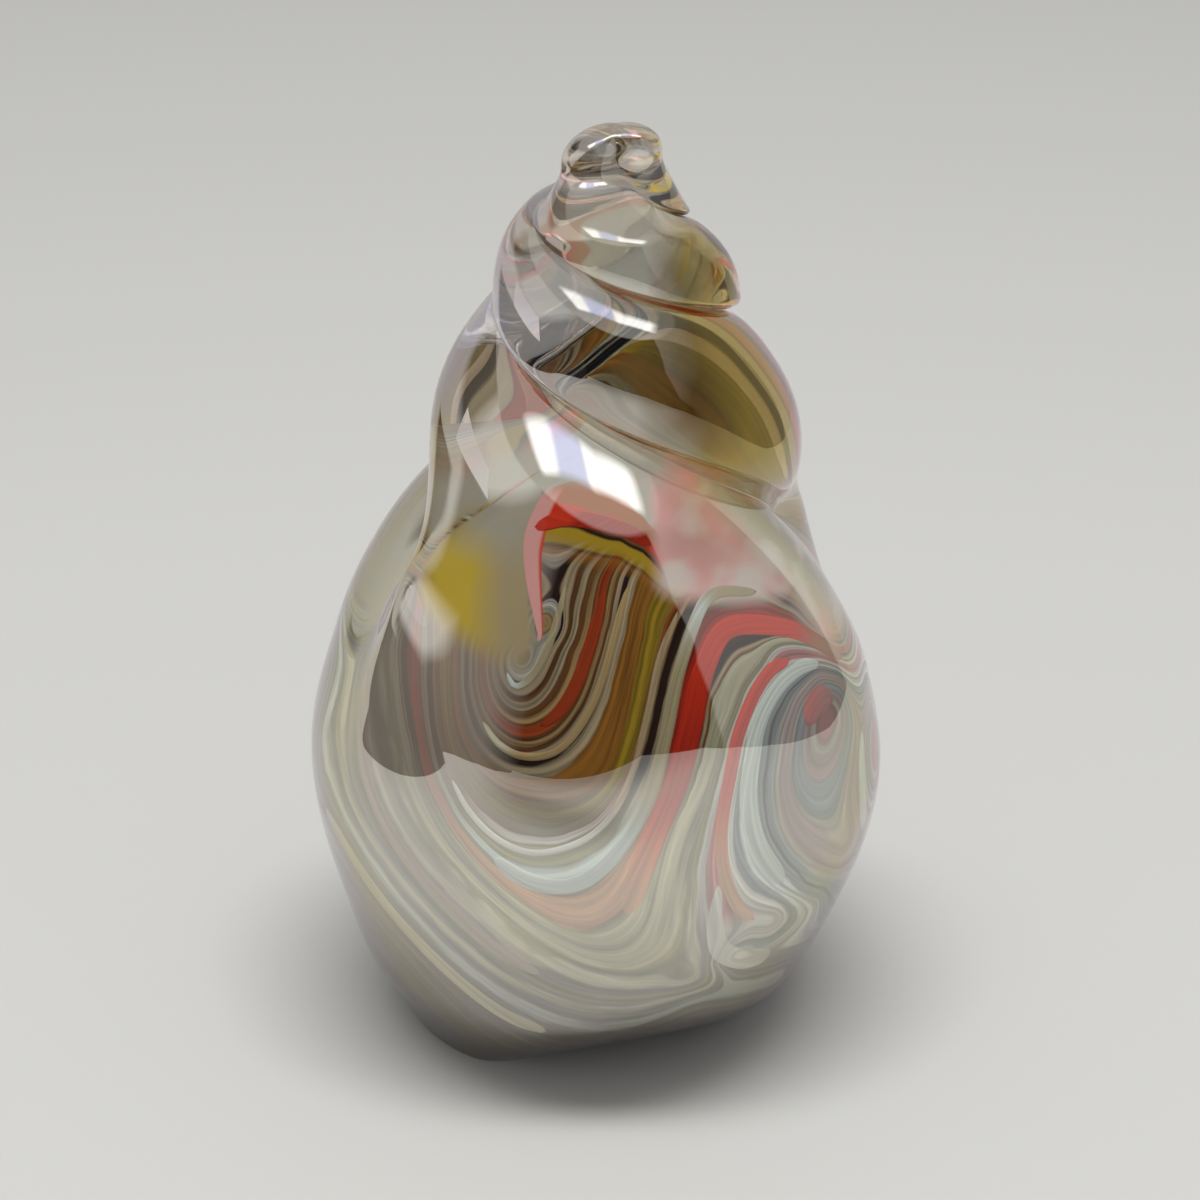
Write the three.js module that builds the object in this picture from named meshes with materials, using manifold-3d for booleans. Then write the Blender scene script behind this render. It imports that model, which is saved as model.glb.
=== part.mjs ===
// Glass shell paperweight, in millimetres, +Z up, resting on its ground foot at z = 0.
// A solid gather of clear glass is cased over a marbled colour core. Its tail is pressed flat,
// twisted left-handed and drawn up into a two-start spire, like the whorls of a sea shell.
import * as THREE from 'three';
import Module from 'manifold-3d';

// Stations of the gather from the foot up: each rise is measured from the station below,
// and each radius runs from the centre line to the ridge of a strand
const FOOT_RADIUS = 22.6;
const HEEL_RISE = 12;
const HEEL_RADIUS = 30.2;
const BELLY_RISE = 24;
const BELLY_RADIUS = 36.4;
const FLANK_RISE = 14;
const FLANK_RADIUS = 34.4;
const SHOULDER_RISE = 10;
const SHOULDER_RADIUS = 31.8;
const WAIST_RISE = 20;
const WAIST_RADIUS = 24;
const SPIRE_RISE = 18;
const SPIRE_RADIUS = 16.3;
const NECK_RISE = 10;
const NECK_RADIUS = 11.2;
const TIP_RISE = 7;
const TIP_RADIUS = 6.3;
const CROWN_RISE = 4.3;
const CROWN_RADIUS = 6.2;
const CROWN_ROUNDING = 5;
const DOME_POWER = 2.4;

// Centre line: the foot stands to the left of the belly and the spire to its right
const FOOT_OFFSET = -2.7;
const BELLY_OFFSET = -0.5;
const FLANK_OFFSET = 0.3;
const SHOULDER_OFFSET = 0.6;
const SPIRE_OFFSET = 2.1;
const NECK_OFFSET = 1.4;

// Twist: the pitch shrinks towards a vanishing point in the tip, as on a shell
const VANISHING_DROP = 1.1;
const GROWTH_PER_TURN = 4.57;
const ZERO_TURN_DROP = 7.05;
const BODY_EASE_DROP = 40;
const BODY_STOP_DROP = 61;
const TIP_EASE_DROP = 14;
const TIP_STOP_DROP = 7.2;
const OVERHANG = 0.05;
const OVERHANG_MARGIN = 6;

// Each groove runs out on the shoulder of the body, between these heights
const GROOVE_END_HEIGHT = 60;
const GROOVE_FULL_HEIGHT = 69;

// The twist drags the hot strips on the left shoulder round and up, most at the peak height.
// The back is marbled in the same way as the front, a turn further on.
const BACK_TURN = 190;
const DRAG_TURN = 9;
const DRAG_RISE = 4.8;
const DRAG_EDGE_ANGLE = 280;
const DRAG_REACH = 60;
const DRAG_FOOT_HEIGHT = 36;
const DRAG_PEAK_HEIGHT = 54;
const DRAG_TOP_HEIGHT = 72;

// One side of the foot was ground off straight
const FLAT_SIDE_ANGLE = 289;
const FLAT_SIDE_REACH = 14.9;
const FLAT_SIDE_HEIGHT = 19;
const CLEAR_OF_THE_BODY = 1.3;
const SIDE_ON = 0.05;
const JOINING_POWER = 14;

// Colour core inside the clear casing
const CASING_WALL = 2.3;
const CORE_HEIGHT = 76;
const CORE_DOME = 34;
const CORE_BULGE = 2;
const FIT_GAP = 0.3;

// Colour ribbons let into the core's surface
const RIBBON_COVER = 0.4;
const RIBBON_THICKNESS = 1.3;
const RIBBON_STEP = 4;
const RIBBON_TAPER = 5;
const RIBBON_END_SHARE = 0.25;
const RIBBON_BOTTOM_SHARE = 0.7;
const SMALL = 0.001;

// Fineness of the surfaces
const COLUMNS_PER_STRAND = 24;
const RING_STEP = 5;
const RING_TURN = 1 / 24;
const CROWN_CLOSENESS = 0.4;
const CORE_CLOSENESS = 1;
const CLOSING_SHARE = 0.3;
const NEARLY_ONE = 0.999999;

const heights = [0, HEEL_RISE, BELLY_RISE, FLANK_RISE, SHOULDER_RISE, WAIST_RISE, SPIRE_RISE,
  NECK_RISE, TIP_RISE, CROWN_RISE].map((sum => rise => (sum += rise))(0));
const crown = heights[heights.length - 1];
const vanishingPoint = crown - VANISHING_DROP;

// What the gather is like at each station. valley: radius in the groove between strands, as a
// share of the ridge. lean: how far the strands sink to the right. bulge: below 1 a strand is
// full, above 1 it is a thin rim.
const shape = {
  radius: [FOOT_RADIUS, HEEL_RADIUS, BELLY_RADIUS, FLANK_RADIUS, SHOULDER_RADIUS, WAIST_RADIUS,
    SPIRE_RADIUS, NECK_RADIUS, TIP_RADIUS, CROWN_RADIUS],
  offset: [FOOT_OFFSET, (FOOT_OFFSET + BELLY_OFFSET) / 2, BELLY_OFFSET, FLANK_OFFSET,
    SHOULDER_OFFSET, SPIRE_OFFSET, SPIRE_OFFSET, NECK_OFFSET, NECK_OFFSET, SPIRE_OFFSET],
  valley: [1, 1, 0.98, 0.85, 0.76, 0.67, 0.74, 0.71, 0.46, 0.46],
  lean: [0, 0.02, 0.055, 0.07, 0.065, 0.076, 0.036, 0.06, -0.03, 0],
  overhang: [0, 0, 0, 0.62, 0.92, 0.94, 1, 0.9, 0, 0],
  bulge: [0.8, 0.8, 0.76, 0.77, 0.98, 0.72, 0.45, 0.35, 2.2, 2.2],
};

// Smooth curve through the values at the stations, with no overshoot
function at(height, values) {
  const z = THREE.MathUtils.clamp(height, 0, crown);
  const last = heights.length - 2;
  let i = heights.findIndex((_, k) => k <= last && z <= heights[k + 1]);
  if (i < 0) i = last;
  const slopes = heights.slice(1).map((h, k) => (values[k + 1] - values[k]) / (h - heights[k]));
  const tangent = k => {
    if (k === 0 || k === heights.length - 1) return slopes[k === 0 ? 0 : k - 1];
    const [before, after] = [slopes[k - 1], slopes[k]];
    return before * after <= 0 ? 0 : 2 * before * after / (before + after);
  };
  const run = heights[i + 1] - heights[i];
  const s = (z - heights[i]) / run;
  return values[i] * (1 + 2 * s) * (1 - s) ** 2 + values[i + 1] * s * s * (3 - 2 * s)
    + run * (tangent(i) * s * (1 - s) ** 2 - tangent(i + 1) * s * s * (1 - s));
}

// Turns of the twist at a height: it eases to a stop inside the body and again in the tip
function turnsAt(height) {
  const body = BODY_STOP_DROP - BODY_EASE_DROP;
  const tip = TIP_EASE_DROP - TIP_STOP_DROP;
  let drop = vanishingPoint - height;
  if (drop > BODY_EASE_DROP) {
    drop = BODY_EASE_DROP + body * Math.tanh((drop - BODY_EASE_DROP) / body);
  }
  if (drop < TIP_EASE_DROP) {
    drop = TIP_EASE_DROP - tip * Math.tanh((TIP_EASE_DROP - drop) / tip);
  }
  return Math.log(drop / ZERO_TURN_DROP) / Math.log(GROWTH_PER_TURN);
}

// The same the other way round: the height at which the twist has made so many turns
function heightAfter(turns) {
  const body = BODY_STOP_DROP - BODY_EASE_DROP;
  const tip = TIP_EASE_DROP - TIP_STOP_DROP;
  let drop = ZERO_TURN_DROP * GROWTH_PER_TURN ** turns;
  if (drop > BODY_EASE_DROP) {
    drop = BODY_EASE_DROP + body * Math.atanh(Math.min((drop - BODY_EASE_DROP) / body, NEARLY_ONE));
  } else if (drop < TIP_EASE_DROP) {
    drop = TIP_EASE_DROP - tip * Math.atanh(Math.min((TIP_EASE_DROP - drop) / tip, NEARLY_ONE));
  }
  return vanishingPoint - drop;
}

// Strands passed by at this point: a whole number lies in a groove
function strandsAt(angle, height) {
  return 2 * (turnsAt(height) - angle / (2 * Math.PI)) + 0.5;
}

// Place across a strand: 0 in the groove above it, 1 in the groove below it
function acrossStrand(angle, height) {
  const strands = strandsAt(angle, height);
  return strands - Math.floor(strands);
}

// Radius in the groove, as a share of the ridge: the nearest groove may already have run out
function valleyAt(angle, height) {
  const groove = Math.round(strandsAt(angle, height));
  const grooveHeight = heightAfter((groove - 0.5) / 2 + angle / (2 * Math.PI));
  const depth = THREE.MathUtils.smoothstep(grooveHeight, GROOVE_END_HEIGHT, GROOVE_FULL_HEIGHT);
  return 1 - (1 - at(height, shape.valley)) * depth;
}

function gatherRadius(angle, height, bulge) {
  const valley = valleyAt(angle, height);
  const swell = Math.sin(Math.PI * acrossStrand(angle, height)) ** bulge;
  const round = at(height, shape.radius) * (valley + (1 - valley) * swell);
  const facing = Math.cos(angle - THREE.MathUtils.degToRad(FLAT_SIDE_ANGLE));
  if (facing < SIDE_ON || height > FLAT_SIDE_HEIGHT) return round;
  const clearOfTheBody = CLEAR_OF_THE_BODY * at(FLAT_SIDE_HEIGHT, shape.radius);
  const rise = Math.max(height / FLAT_SIDE_HEIGHT, 0);
  const straight = (FLAT_SIDE_REACH + (clearOfTheBody - FLAT_SIDE_REACH) * rise) / facing;
  return (round ** -JOINING_POWER + straight ** -JOINING_POWER) ** (-1 / JOINING_POWER);
}

// Rounded shoulder of a dome: 1 at its foot and 0 at its top
function dome(belowTop, length) {
  const s = THREE.MathUtils.clamp(belowTop / length, 0, 1);
  return (1 - (1 - s) ** DOME_POWER) ** (1 / DOME_POWER);
}

// A point at a radius, leaned with the strands and hung over the groove below each of them
function place(angle, height, radius, closing) {
  const x = radius * Math.cos(angle);
  const hang = OVERHANG * at(height, shape.overhang) * closing
    * Math.max(vanishingPoint + OVERHANG_MARGIN - height, 0)
    * Math.sin(Math.PI * acrossStrand(angle, height) ** 3) ** 2;
  return new THREE.Vector3(at(height, shape.offset) + x, radius * Math.sin(angle),
    height - hang - at(height, shape.lean) * x);
}

function gatherPoint(angle, height) {
  const closing = dome(crown - height, CROWN_ROUNDING);
  const radius = gatherRadius(angle, height, at(height, shape.bulge));
  return place(angle, height, radius * closing, closing);
}

// grow is how far outside the core's own surface the point lies. The core has no sharp
// groove: its bulge leaves more clear glass beside the grooves of the casing.
function corePoint(angle, height, grow = 0) {
  const closing = dome(CORE_HEIGHT + grow - height, CORE_DOME);
  const radius = (gatherRadius(angle, height, CORE_BULGE) - CASING_WALL + grow) * closing;
  return place(angle, height, radius, closing);
}

// Ring heights up to a top: close together where the twist is fast and where the dome closes
function ringHeights(top, closeness) {
  const list = [0];
  let height = 0;
  while (top - height > closeness) {
    const twist = Math.abs(turnsAt(height + 1) - turnsAt(height - 1)) / 2;
    const closing = CLOSING_SHARE * (top - height) + closeness / 2;
    height += Math.min(RING_STEP, RING_TURN / twist, closing);
    if (height < top - closeness / 2) list.push(height);
  }
  return list;
}

// Rings whose columns follow the strands, closer together beside the grooves
function rings(list, point) {
  return list.map(height => {
    const ring = [];
    for (let column = 0; column < 2 * COLUMNS_PER_STRAND; column++) {
      const strand = Math.floor(column / COLUMNS_PER_STRAND);
      const share = column / COLUMNS_PER_STRAND - strand;
      const across = (share + (1 - Math.cos(Math.PI * share)) / 2) / 2;
      const angle = 2 * Math.PI * turnsAt(height) + Math.PI * (strand + across + 0.5);
      ring.push(point(angle, height));
    }
    return ring;
  });
}

// Collects points and faces, and turns each finished body outwards
class Shell {
  constructor() {
    this.points = [];
    this.faces = [];
  }

  add(points) {
    const first = this.points.length;
    this.points.push(...points);
    return points.map((_, i) => first + i);
  }

  // Two faces on the diagonal from a to c, whichever way they look, so that a cavity's
  // faces lie level with those of what fills it
  quad(a, b, c, d, inwards = false) {
    this.faces.push(inwards ? [a, c, b] : [a, b, c], inwards ? [a, d, c] : [a, c, d]);
  }

  wall(lower, upper, inwards = false) {
    lower.forEach((_, j) => {
      const k = (j + 1) % lower.length;
      this.quad(lower[j], lower[k], upper[k], upper[j], inwards);
    });
  }

  fan(ring, point, inwards = false) {
    const [tip] = this.add([point]);
    ring.forEach((a, j) => {
      const b = ring[(j + 1) % ring.length];
      this.faces.push(inwards ? [b, a, tip] : [a, b, tip]);
    });
  }

  geometry() {
    const volume = this.faces.reduce((sum, [a, b, c]) => sum
      + this.points[a].dot(this.points[b].clone().cross(this.points[c])), 0);
    const faces = volume < 0 ? this.faces.map(([a, b, c]) => [a, c, b]) : this.faces;
    const geometry = new THREE.BufferGeometry();
    geometry.setAttribute('position', new THREE.Float32BufferAttribute(
      this.points.flatMap(p => p.toArray()), 3));
    geometry.setIndex(faces.flat());
    return geometry;
  }
}

// Clear casing: the outside of the gather, and a cavity open at the foot for the core
function casingGeometry() {
  const shell = new Shell();
  const stretch = (CORE_HEIGHT + FIT_GAP) / CORE_HEIGHT;
  const cavityHeights = ringHeights(CORE_HEIGHT, CORE_CLOSENESS).map(height => height * stretch);
  const cavityPoint = (angle, height) => corePoint(angle, height, FIT_GAP);
  const outside = rings(ringHeights(crown, CROWN_CLOSENESS), gatherPoint)
    .map(ring => shell.add(ring));
  const cavity = rings(cavityHeights, cavityPoint)
    .map(ring => shell.add(ring));
  for (let i = 1; i < outside.length; i++) shell.wall(outside[i - 1], outside[i]);
  for (let i = 1; i < cavity.length; i++) shell.wall(cavity[i - 1], cavity[i], true);
  shell.wall(cavity[0], outside[0]);
  shell.fan(outside.at(-1), gatherPoint(0, crown));
  shell.fan(cavity.at(-1), cavityPoint(0, CORE_HEIGHT + FIT_GAP), true);
  return shell.geometry();
}

function coreGeometry() {
  const shell = new Shell();
  const coreHeights = ringHeights(CORE_HEIGHT, CORE_CLOSENESS);
  const outside = rings(coreHeights, (angle, height) => corePoint(angle, height))
    .map(ring => shell.add(ring));
  for (let i = 1; i < outside.length; i++) shell.wall(outside[i - 1], outside[i]);
  shell.fan(outside.at(-1), corePoint(0, CORE_HEIGHT));
  shell.fan(outside[0], new THREE.Vector3(FOOT_OFFSET, 0, 0), true);
  return shell.geometry();
}

// Where the twist leaves a point of a route that was laid at an angle in degrees and a height
function dragged(angle, height) {
  const { clamp, smoothstep } = THREE.MathUtils;
  const front = angle < BACK_TURN ? angle + BACK_TURN : angle;
  const left = clamp((DRAG_EDGE_ANGLE - front) / DRAG_REACH, 0, 1);
  const raised = smoothstep(height, DRAG_FOOT_HEIGHT, DRAG_PEAK_HEIGHT);
  const fading = 1 - smoothstep(height, DRAG_PEAK_HEIGHT, DRAG_TOP_HEIGHT);
  return [angle + DRAG_TURN * left ** 2 * raised, height + DRAG_RISE * left * raised * fading];
}

// A ribbon lies on the core along a route of [angle in degrees, height in % of the core].
// clearance widens and deepens it for the groove that it lies in.
function ribbonGeometry({ route, width, endWidth = width }, clearance = 0) {
  const flat = route.map(([angle, percent]) => {
    const [turned, height] = dragged(angle, CORE_HEIGHT * percent / 100);
    return new THREE.Vector3(THREE.MathUtils.degToRad(turned) * BELLY_RADIUS, height, 0);
  });
  const curve = new THREE.CatmullRomCurve3(flat);
  const length = curve.getLength();
  const steps = Math.max(4, Math.round(length / RIBBON_STEP));
  const top = clearance > 0 ? RIBBON_COVER + FIT_GAP : -RIBBON_COVER;
  const bottom = -RIBBON_COVER - RIBBON_THICKNESS - clearance;
  const shell = new Shell();
  const sections = [];
  for (let step = 0; step <= steps; step++) {
    const s = step / steps;
    const ahead = curve.getTangentAt(s);
    const overrun = step === 0 ? -clearance : step === steps ? clearance : 0;
    const middle = curve.getPointAt(s).addScaledVector(ahead, overrun);
    const end = Math.min(1, Math.min(s, 1 - s) * length / Math.min(RIBBON_TAPER, length / 2));
    const taper = RIBBON_END_SHARE + (1 - RIBBON_END_SHARE) * Math.sqrt(1 - (1 - end) ** 2);
    const half = (width + (endWidth - width) * s) * taper / 2 + clearance;
    const angle = middle.x / BELLY_RADIUS;
    const here = corePoint(angle, middle.y);
    const upward = corePoint(angle, middle.y + SMALL).sub(here).divideScalar(SMALL);
    const around = corePoint(angle + SMALL, middle.y).sub(here).divideScalar(SMALL);
    const onCore = (side, grow) => {
      const forward = around.clone().multiplyScalar(ahead.x / BELLY_RADIUS)
        .addScaledVector(upward, ahead.y);
      const sideways = forward.cross(around.clone().cross(upward)).normalize().multiplyScalar(side);
      const [rr, ru, uu] = [around.dot(around), around.dot(upward), upward.dot(upward)];
      const [sr, su] = [sideways.dot(around), sideways.dot(upward)];
      const scale = rr * uu - ru * ru;
      const turn = (sr * uu - su * ru) / scale;
      const rise = (su * rr - sr * ru) / scale;
      return corePoint(angle + turn, middle.y + rise, grow);
    };
    const lower = RIBBON_BOTTOM_SHARE * half;
    sections.push(shell.add([onCore(-half, top), onCore(half, top),
      onCore(lower, bottom), onCore(-lower, bottom)]));
  }
  for (let i = 1; i < sections.length; i++) shell.wall(sections[i - 1], sections[i]);
  const [first, last] = [sections[0], sections.at(-1)];
  shell.quad(first[3], first[2], first[1], first[0]);
  shell.quad(last[0], last[1], last[2], last[3]);
  return shell.geometry();
}

// Colours of the glass: how each melts into the core is left to the finish
const colours = {
  clear: 0xc9cdc6,
  amber: 0x6f5b2c,
  red: 0xa5281b,
  orange: 0xb4532a,
  pink: 0xb98a86,
  blue: 0xa6bac4,
  white: 0xd6d5cd,
  ivory: 0xc2bda6,
};

function glass(colour) {
  return new THREE.MeshStandardMaterial({ color: colours[colour], roughness: 0.05, metalness: 0 });
}

// Ribbons on the side that faces the viewer, then those that only the sides and the back show
const ribbons = {
  red_ribbon: { colour: 'red', width: 2, endWidth: 3.2,
    route: [[341, 72], [327, 79.3], [312, 83.2], [302, 83.7], [295, 80], [290.5, 74.3],
      [286.5, 67.1], [282, 59.2], [279, 51.1], [276.5, 42.1]] },
  blue_ribbon: { colour: 'blue', width: 1.2, endWidth: 2.2,
    route: [[318, 85.8], [304, 87.6], [296, 86.3], [288.6, 80.5], [284, 73.2], [280, 64.7],
      [275.5, 56.6], [270.5, 50.1], [264, 46.8], [256, 47.1], [249, 49.7]] },
  white_ribbon: { colour: 'white', width: 0.8,
    route: [[290, 87.1], [284, 82.4], [280, 75.8], [276, 67.6], [271.5, 60], [266, 55], [258, 52],
      [250, 52.5], [242, 55.3], [236, 58.2]] },
  ivory_ribbon: { colour: 'ivory', width: 0.9,
    route: [[275, 90.3], [271.6, 85], [269, 79.7], [264.8, 74.2], [258.6, 68.8], [251, 66.1],
      [244, 65.8], [238, 67.4]] },
  orange_ribbon: { colour: 'orange', width: 1.4, endWidth: 1.7,
    route: [[267.6, 90.3], [265.8, 85.5], [262.8, 79.7], [258.8, 75], [253.5, 71.3]] },
  hook_ribbon: { colour: 'blue', width: 0.9,
    route: [[253.6, 90.3], [253.2, 85.5], [251.6, 81.1], [248.6, 77.4], [244.5, 75.3],
      [240.9, 76.6]] },
  red_crescent: { colour: 'red', width: 1.7,
    route: [[320, 77.5], [312.5, 77.4], [305.5, 74.6], [300.3, 70.1], [297.4, 64.5], [295.6, 58.6],
      [295.3, 52.6], [296.5, 47.1], [300, 41.3], [305, 37.1]] },
  blue_crescent: { colour: 'blue', width: 1.6, endWidth: 3,
    route: [[330, 74.5], [322.5, 75.8], [313.8, 75], [306.5, 71.4], [303, 65.8], [301.7, 60.3],
      [302.8, 53.7], [305.8, 48.2], [311, 42.9]] },
  red_eye: { colour: 'red', width: 3.6,
    route: [[319.5, 68.2], [323, 70], [327, 70.3], [330.5, 68.9]] },
  crown_ribbon: { colour: 'red', width: 2.2, endWidth: 1.5,
    route: [[227, 95], [240, 95.8], [253, 95.8], [265.5, 95.4], [275, 94.7], [283, 93.4]] },
  side_blue_ribbon: { colour: 'blue', width: 1.8, endWidth: 2.6,
    route: [[341, 60.5], [338.6, 55.3], [338.6, 48.7], [341, 42.1]] },
  side_red_ribbon: { colour: 'red', width: 3,
    route: [[351, 60.5], [352, 55.3], [351, 50], [350, 46.1]] },
  arc_ribbon: { colour: 'pink', width: 2.2,
    route: [[200, 62.6], [208, 57.1], [217, 51.7], [227, 46.1], [238, 39.5], [249, 32.9],
      [259, 28.4]] },
  milk_ribbon: { colour: 'white', width: 1.4, endWidth: 4,
    route: [[295, 46.1], [295.4, 38.2], [298.4, 32.1], [305, 28.4], [314, 26.3]] },
  foot_ribbon: { colour: 'ivory', width: 2.4,
    route: [[198, 41.3], [208, 38.9], [218, 34.2], [228, 28.7], [238, 22.9], [248, 17.9],
      [260, 14.5]] },
  back_red_ribbon: { colour: 'red', width: 2, endWidth: 2.8,
    route: [[151, 72], [137, 79.3], [122, 83.2], [112, 83.7], [105, 80], [100.5, 74.3],
      [96.5, 67.1], [92, 59.2], [89, 51.1]] },
  back_blue_ribbon: { colour: 'blue', width: 1.2, endWidth: 2.2,
    route: [[128, 85.8], [114, 87.6], [106, 86.3], [98.6, 80.5], [94, 73.2], [90, 64.7],
      [85.5, 56.6], [80.5, 50.1], [74, 46.8]] },
  back_white_ribbon: { colour: 'white', width: 1.1,
    route: [[100, 87.1], [94, 82.4], [90, 75.8], [86, 67.6], [81.5, 60], [76, 55], [68, 52],
      [60, 52.5]] },
  back_red_crescent: { colour: 'red', width: 1.8,
    route: [[130, 77.5], [122.5, 77.4], [115.5, 74.6], [110.3, 70.1], [107.4, 64.5], [105.6, 58.6],
      [105.3, 52.6], [106.5, 47.1], [110, 41.3]] },
  back_arc_ribbon: { colour: 'pink', width: 2.2,
    route: [[10, 62.6], [18, 57.1], [27, 51.7], [37, 46.1], [48, 39.5], [59, 32.9], [69, 28.4]] },
  back_foot_ribbon: { colour: 'ivory', width: 2.4,
    route: [[8, 41.3], [18, 38.9], [28, 34.2], [38, 28.7], [48, 22.9], [58, 17.9], [70, 14.5]] },
};

const wasm = await Module();
wasm.setup();

function toManifold(geometry) {
  const numProp = 3;
  const vertProperties = new Float32Array(geometry.getAttribute('position').array);
  const triVerts = new Uint32Array(geometry.getIndex().array);
  return new wasm.Manifold(new wasm.Mesh({ numProp, vertProperties, triVerts }));
}

function fromManifold(solid) {
  const mesh = solid.getMesh();
  const geometry = new THREE.BufferGeometry();
  geometry.setAttribute('position', new THREE.Float32BufferAttribute(mesh.vertProperties, 3));
  geometry.setIndex(Array.from(mesh.triVerts));
  return geometry;
}

const group = new THREE.Group();

function add(name, geometry, colour) {
  geometry.computeVertexNormals();
  const mesh = new THREE.Mesh(geometry, glass(colour));
  mesh.name = name;
  group.add(mesh);
}

add('clear_casing', casingGeometry(), 'clear');
let core = toManifold(coreGeometry());
for (const [name, ribbon] of Object.entries(ribbons)) {
  core = core.subtract(toManifold(ribbonGeometry(ribbon, FIT_GAP)));
  add(name, ribbonGeometry(ribbon), ribbon.colour);
}
add('colour_core', fromManifold(core), 'amber');

export default group;
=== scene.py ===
# %% [markdown]
# # A glass shell paperweight
# Solid glass is built up in layers. A colour core is marbled with trails of coloured glass,
# a gather of clear glass is cased over it, and the soft tail is twisted and drawn out into a
# spire. Then a thin metal lustre is fumed on, which turns the skin into a weak mirror.
# This lesson makes those layers in the same order, around the frame that the CAD gives.

# %% Load the frame
import math
import bpy
import numpy as np
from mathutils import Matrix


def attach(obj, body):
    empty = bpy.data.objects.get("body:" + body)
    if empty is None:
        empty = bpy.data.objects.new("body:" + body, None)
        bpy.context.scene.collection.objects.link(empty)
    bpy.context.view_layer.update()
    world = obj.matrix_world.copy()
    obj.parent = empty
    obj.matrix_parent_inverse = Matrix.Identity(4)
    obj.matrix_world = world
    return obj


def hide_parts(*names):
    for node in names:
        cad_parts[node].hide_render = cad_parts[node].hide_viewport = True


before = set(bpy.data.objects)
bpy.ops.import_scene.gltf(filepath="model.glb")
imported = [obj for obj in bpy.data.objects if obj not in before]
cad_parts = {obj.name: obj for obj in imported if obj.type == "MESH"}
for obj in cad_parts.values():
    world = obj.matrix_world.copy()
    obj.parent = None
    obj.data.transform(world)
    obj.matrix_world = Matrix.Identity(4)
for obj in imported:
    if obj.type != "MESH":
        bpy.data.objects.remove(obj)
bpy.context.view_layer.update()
MM = 0.001
print("CAD nodes:", len(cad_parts))

# %% [markdown]
# ## Camera
# The eye looks slightly down on the piece through a long lens, which keeps upright lines
# nearly parallel. A camera looks along its own -Z, so it is tipped up by a right angle less
# the angle that it looks down.

# %% Camera
LOOK_DOWN = math.radians(27)
EYE_DISTANCE = 480 * MM
EYE_TARGET_HEIGHT = 56.5 * MM
eye_place = (0, -EYE_DISTANCE * math.cos(LOOK_DOWN),
             EYE_TARGET_HEIGHT + EYE_DISTANCE * math.sin(LOOK_DOWN))
bpy.ops.object.camera_add(location=eye_place, rotation=(math.pi / 2 - LOOK_DOWN, 0, 0))
eye = bpy.context.object
eye.data.lens = 115.2
eye.data.sensor_width = 36
eye.data.clip_start = 0.01
bpy.context.scene.camera = eye
print("camera at", [round(v, 3) for v in eye_place])

# %% [markdown]
# ## The shape of the gather
# A shell form is a round body whose radius, groove depth, lean and turn change with height.
# By hand the maker blocks, twists and pulls. In code each of these is a smooth curve through
# values at a few stations, the same ones as in the CAD, so the looks stay inside the part.

# %% Stations of the gather, in millimetres
STATIONS = np.array([0, 12, 36, 50, 60, 80, 98, 108, 115, 119.3])
CROWN = STATIONS[-1]
SHAPE = {
    "radius": [22.6, 30.2, 36.4, 34.4, 31.8, 24, 16.3, 11.2, 6.3, 6.2],
    "offset": [-2.7, -1.6, -0.5, 0.3, 0.6, 2.1, 2.1, 1.4, 1.4, 2.1],
    "valley": [1, 1, 0.98, 0.85, 0.76, 0.67, 0.74, 0.71, 0.46, 0.46],
    "lean": [0, 0.02, 0.055, 0.07, 0.065, 0.076, 0.036, 0.06, -0.03, 0],
    "overhang": [0, 0, 0, 0.62, 0.92, 0.94, 1, 0.9, 0, 0],
    "bulge": [0.8, 0.8, 0.76, 0.77, 0.98, 0.72, 0.45, 0.35, 2.2, 2.2],
}


def at(height, name):
    """Smooth curve through the values at the stations, with no overshoot."""
    values = np.array(SHAPE[name], float)
    slopes = np.diff(values) / np.diff(STATIONS)
    before, after = slopes[:-1], slopes[1:]
    turning = before * after <= 0
    total = np.where(turning, 1, before + after)
    tangents = np.concatenate([slopes[:1], np.where(turning, 0, 2 * before * after / total),
                               slopes[-1:]])
    z = np.clip(height, 0, CROWN)
    i = np.clip(np.searchsorted(STATIONS, z) - 1, 0, len(slopes) - 1)
    run = STATIONS[i + 1] - STATIONS[i]
    s = (z - STATIONS[i]) / run
    return (values[i] * (1 + 2 * s) * (1 - s) ** 2 + values[i + 1] * s * s * (3 - 2 * s)
            + run * (tangents[i] * s * (1 - s) ** 2 - tangents[i + 1] * s * s * (1 - s)))


print("ridge radius at the belly:", at(36.0, "radius"), "mm")

# %% [markdown]
# ## Twist
# Turning the soft tail while it is drawn out winds it into a screw. The tail thins as it goes,
# so each turn is shorter than the one below it: measured down from a vanishing point near the
# tip, the drop grows by the same factor with every turn. The twist eases out at both ends,
# because the bulb and the tip aren't turned any further.

# %% Twist
VANISHING_HEIGHT = CROWN - 1.1
GROWTH_PER_TURN = 4.57
ZERO_TURN_DROP = 7.05
BODY_EASE_DROP, BODY_STOP_DROP = 40, 61
TIP_EASE_DROP, TIP_STOP_DROP = 14, 7.2
NEARLY_ONE = 0.999999


def turns_at(height):
    body, tip = BODY_STOP_DROP - BODY_EASE_DROP, TIP_EASE_DROP - TIP_STOP_DROP
    drop = VANISHING_HEIGHT - height
    slow = BODY_EASE_DROP + body * np.tanh((drop - BODY_EASE_DROP) / body)
    drop = np.where(drop > BODY_EASE_DROP, slow, drop)
    slow = TIP_EASE_DROP - tip * np.tanh((TIP_EASE_DROP - drop) / tip)
    drop = np.where(drop < TIP_EASE_DROP, slow, drop)
    return np.log(drop / ZERO_TURN_DROP) / math.log(GROWTH_PER_TURN)


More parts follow.
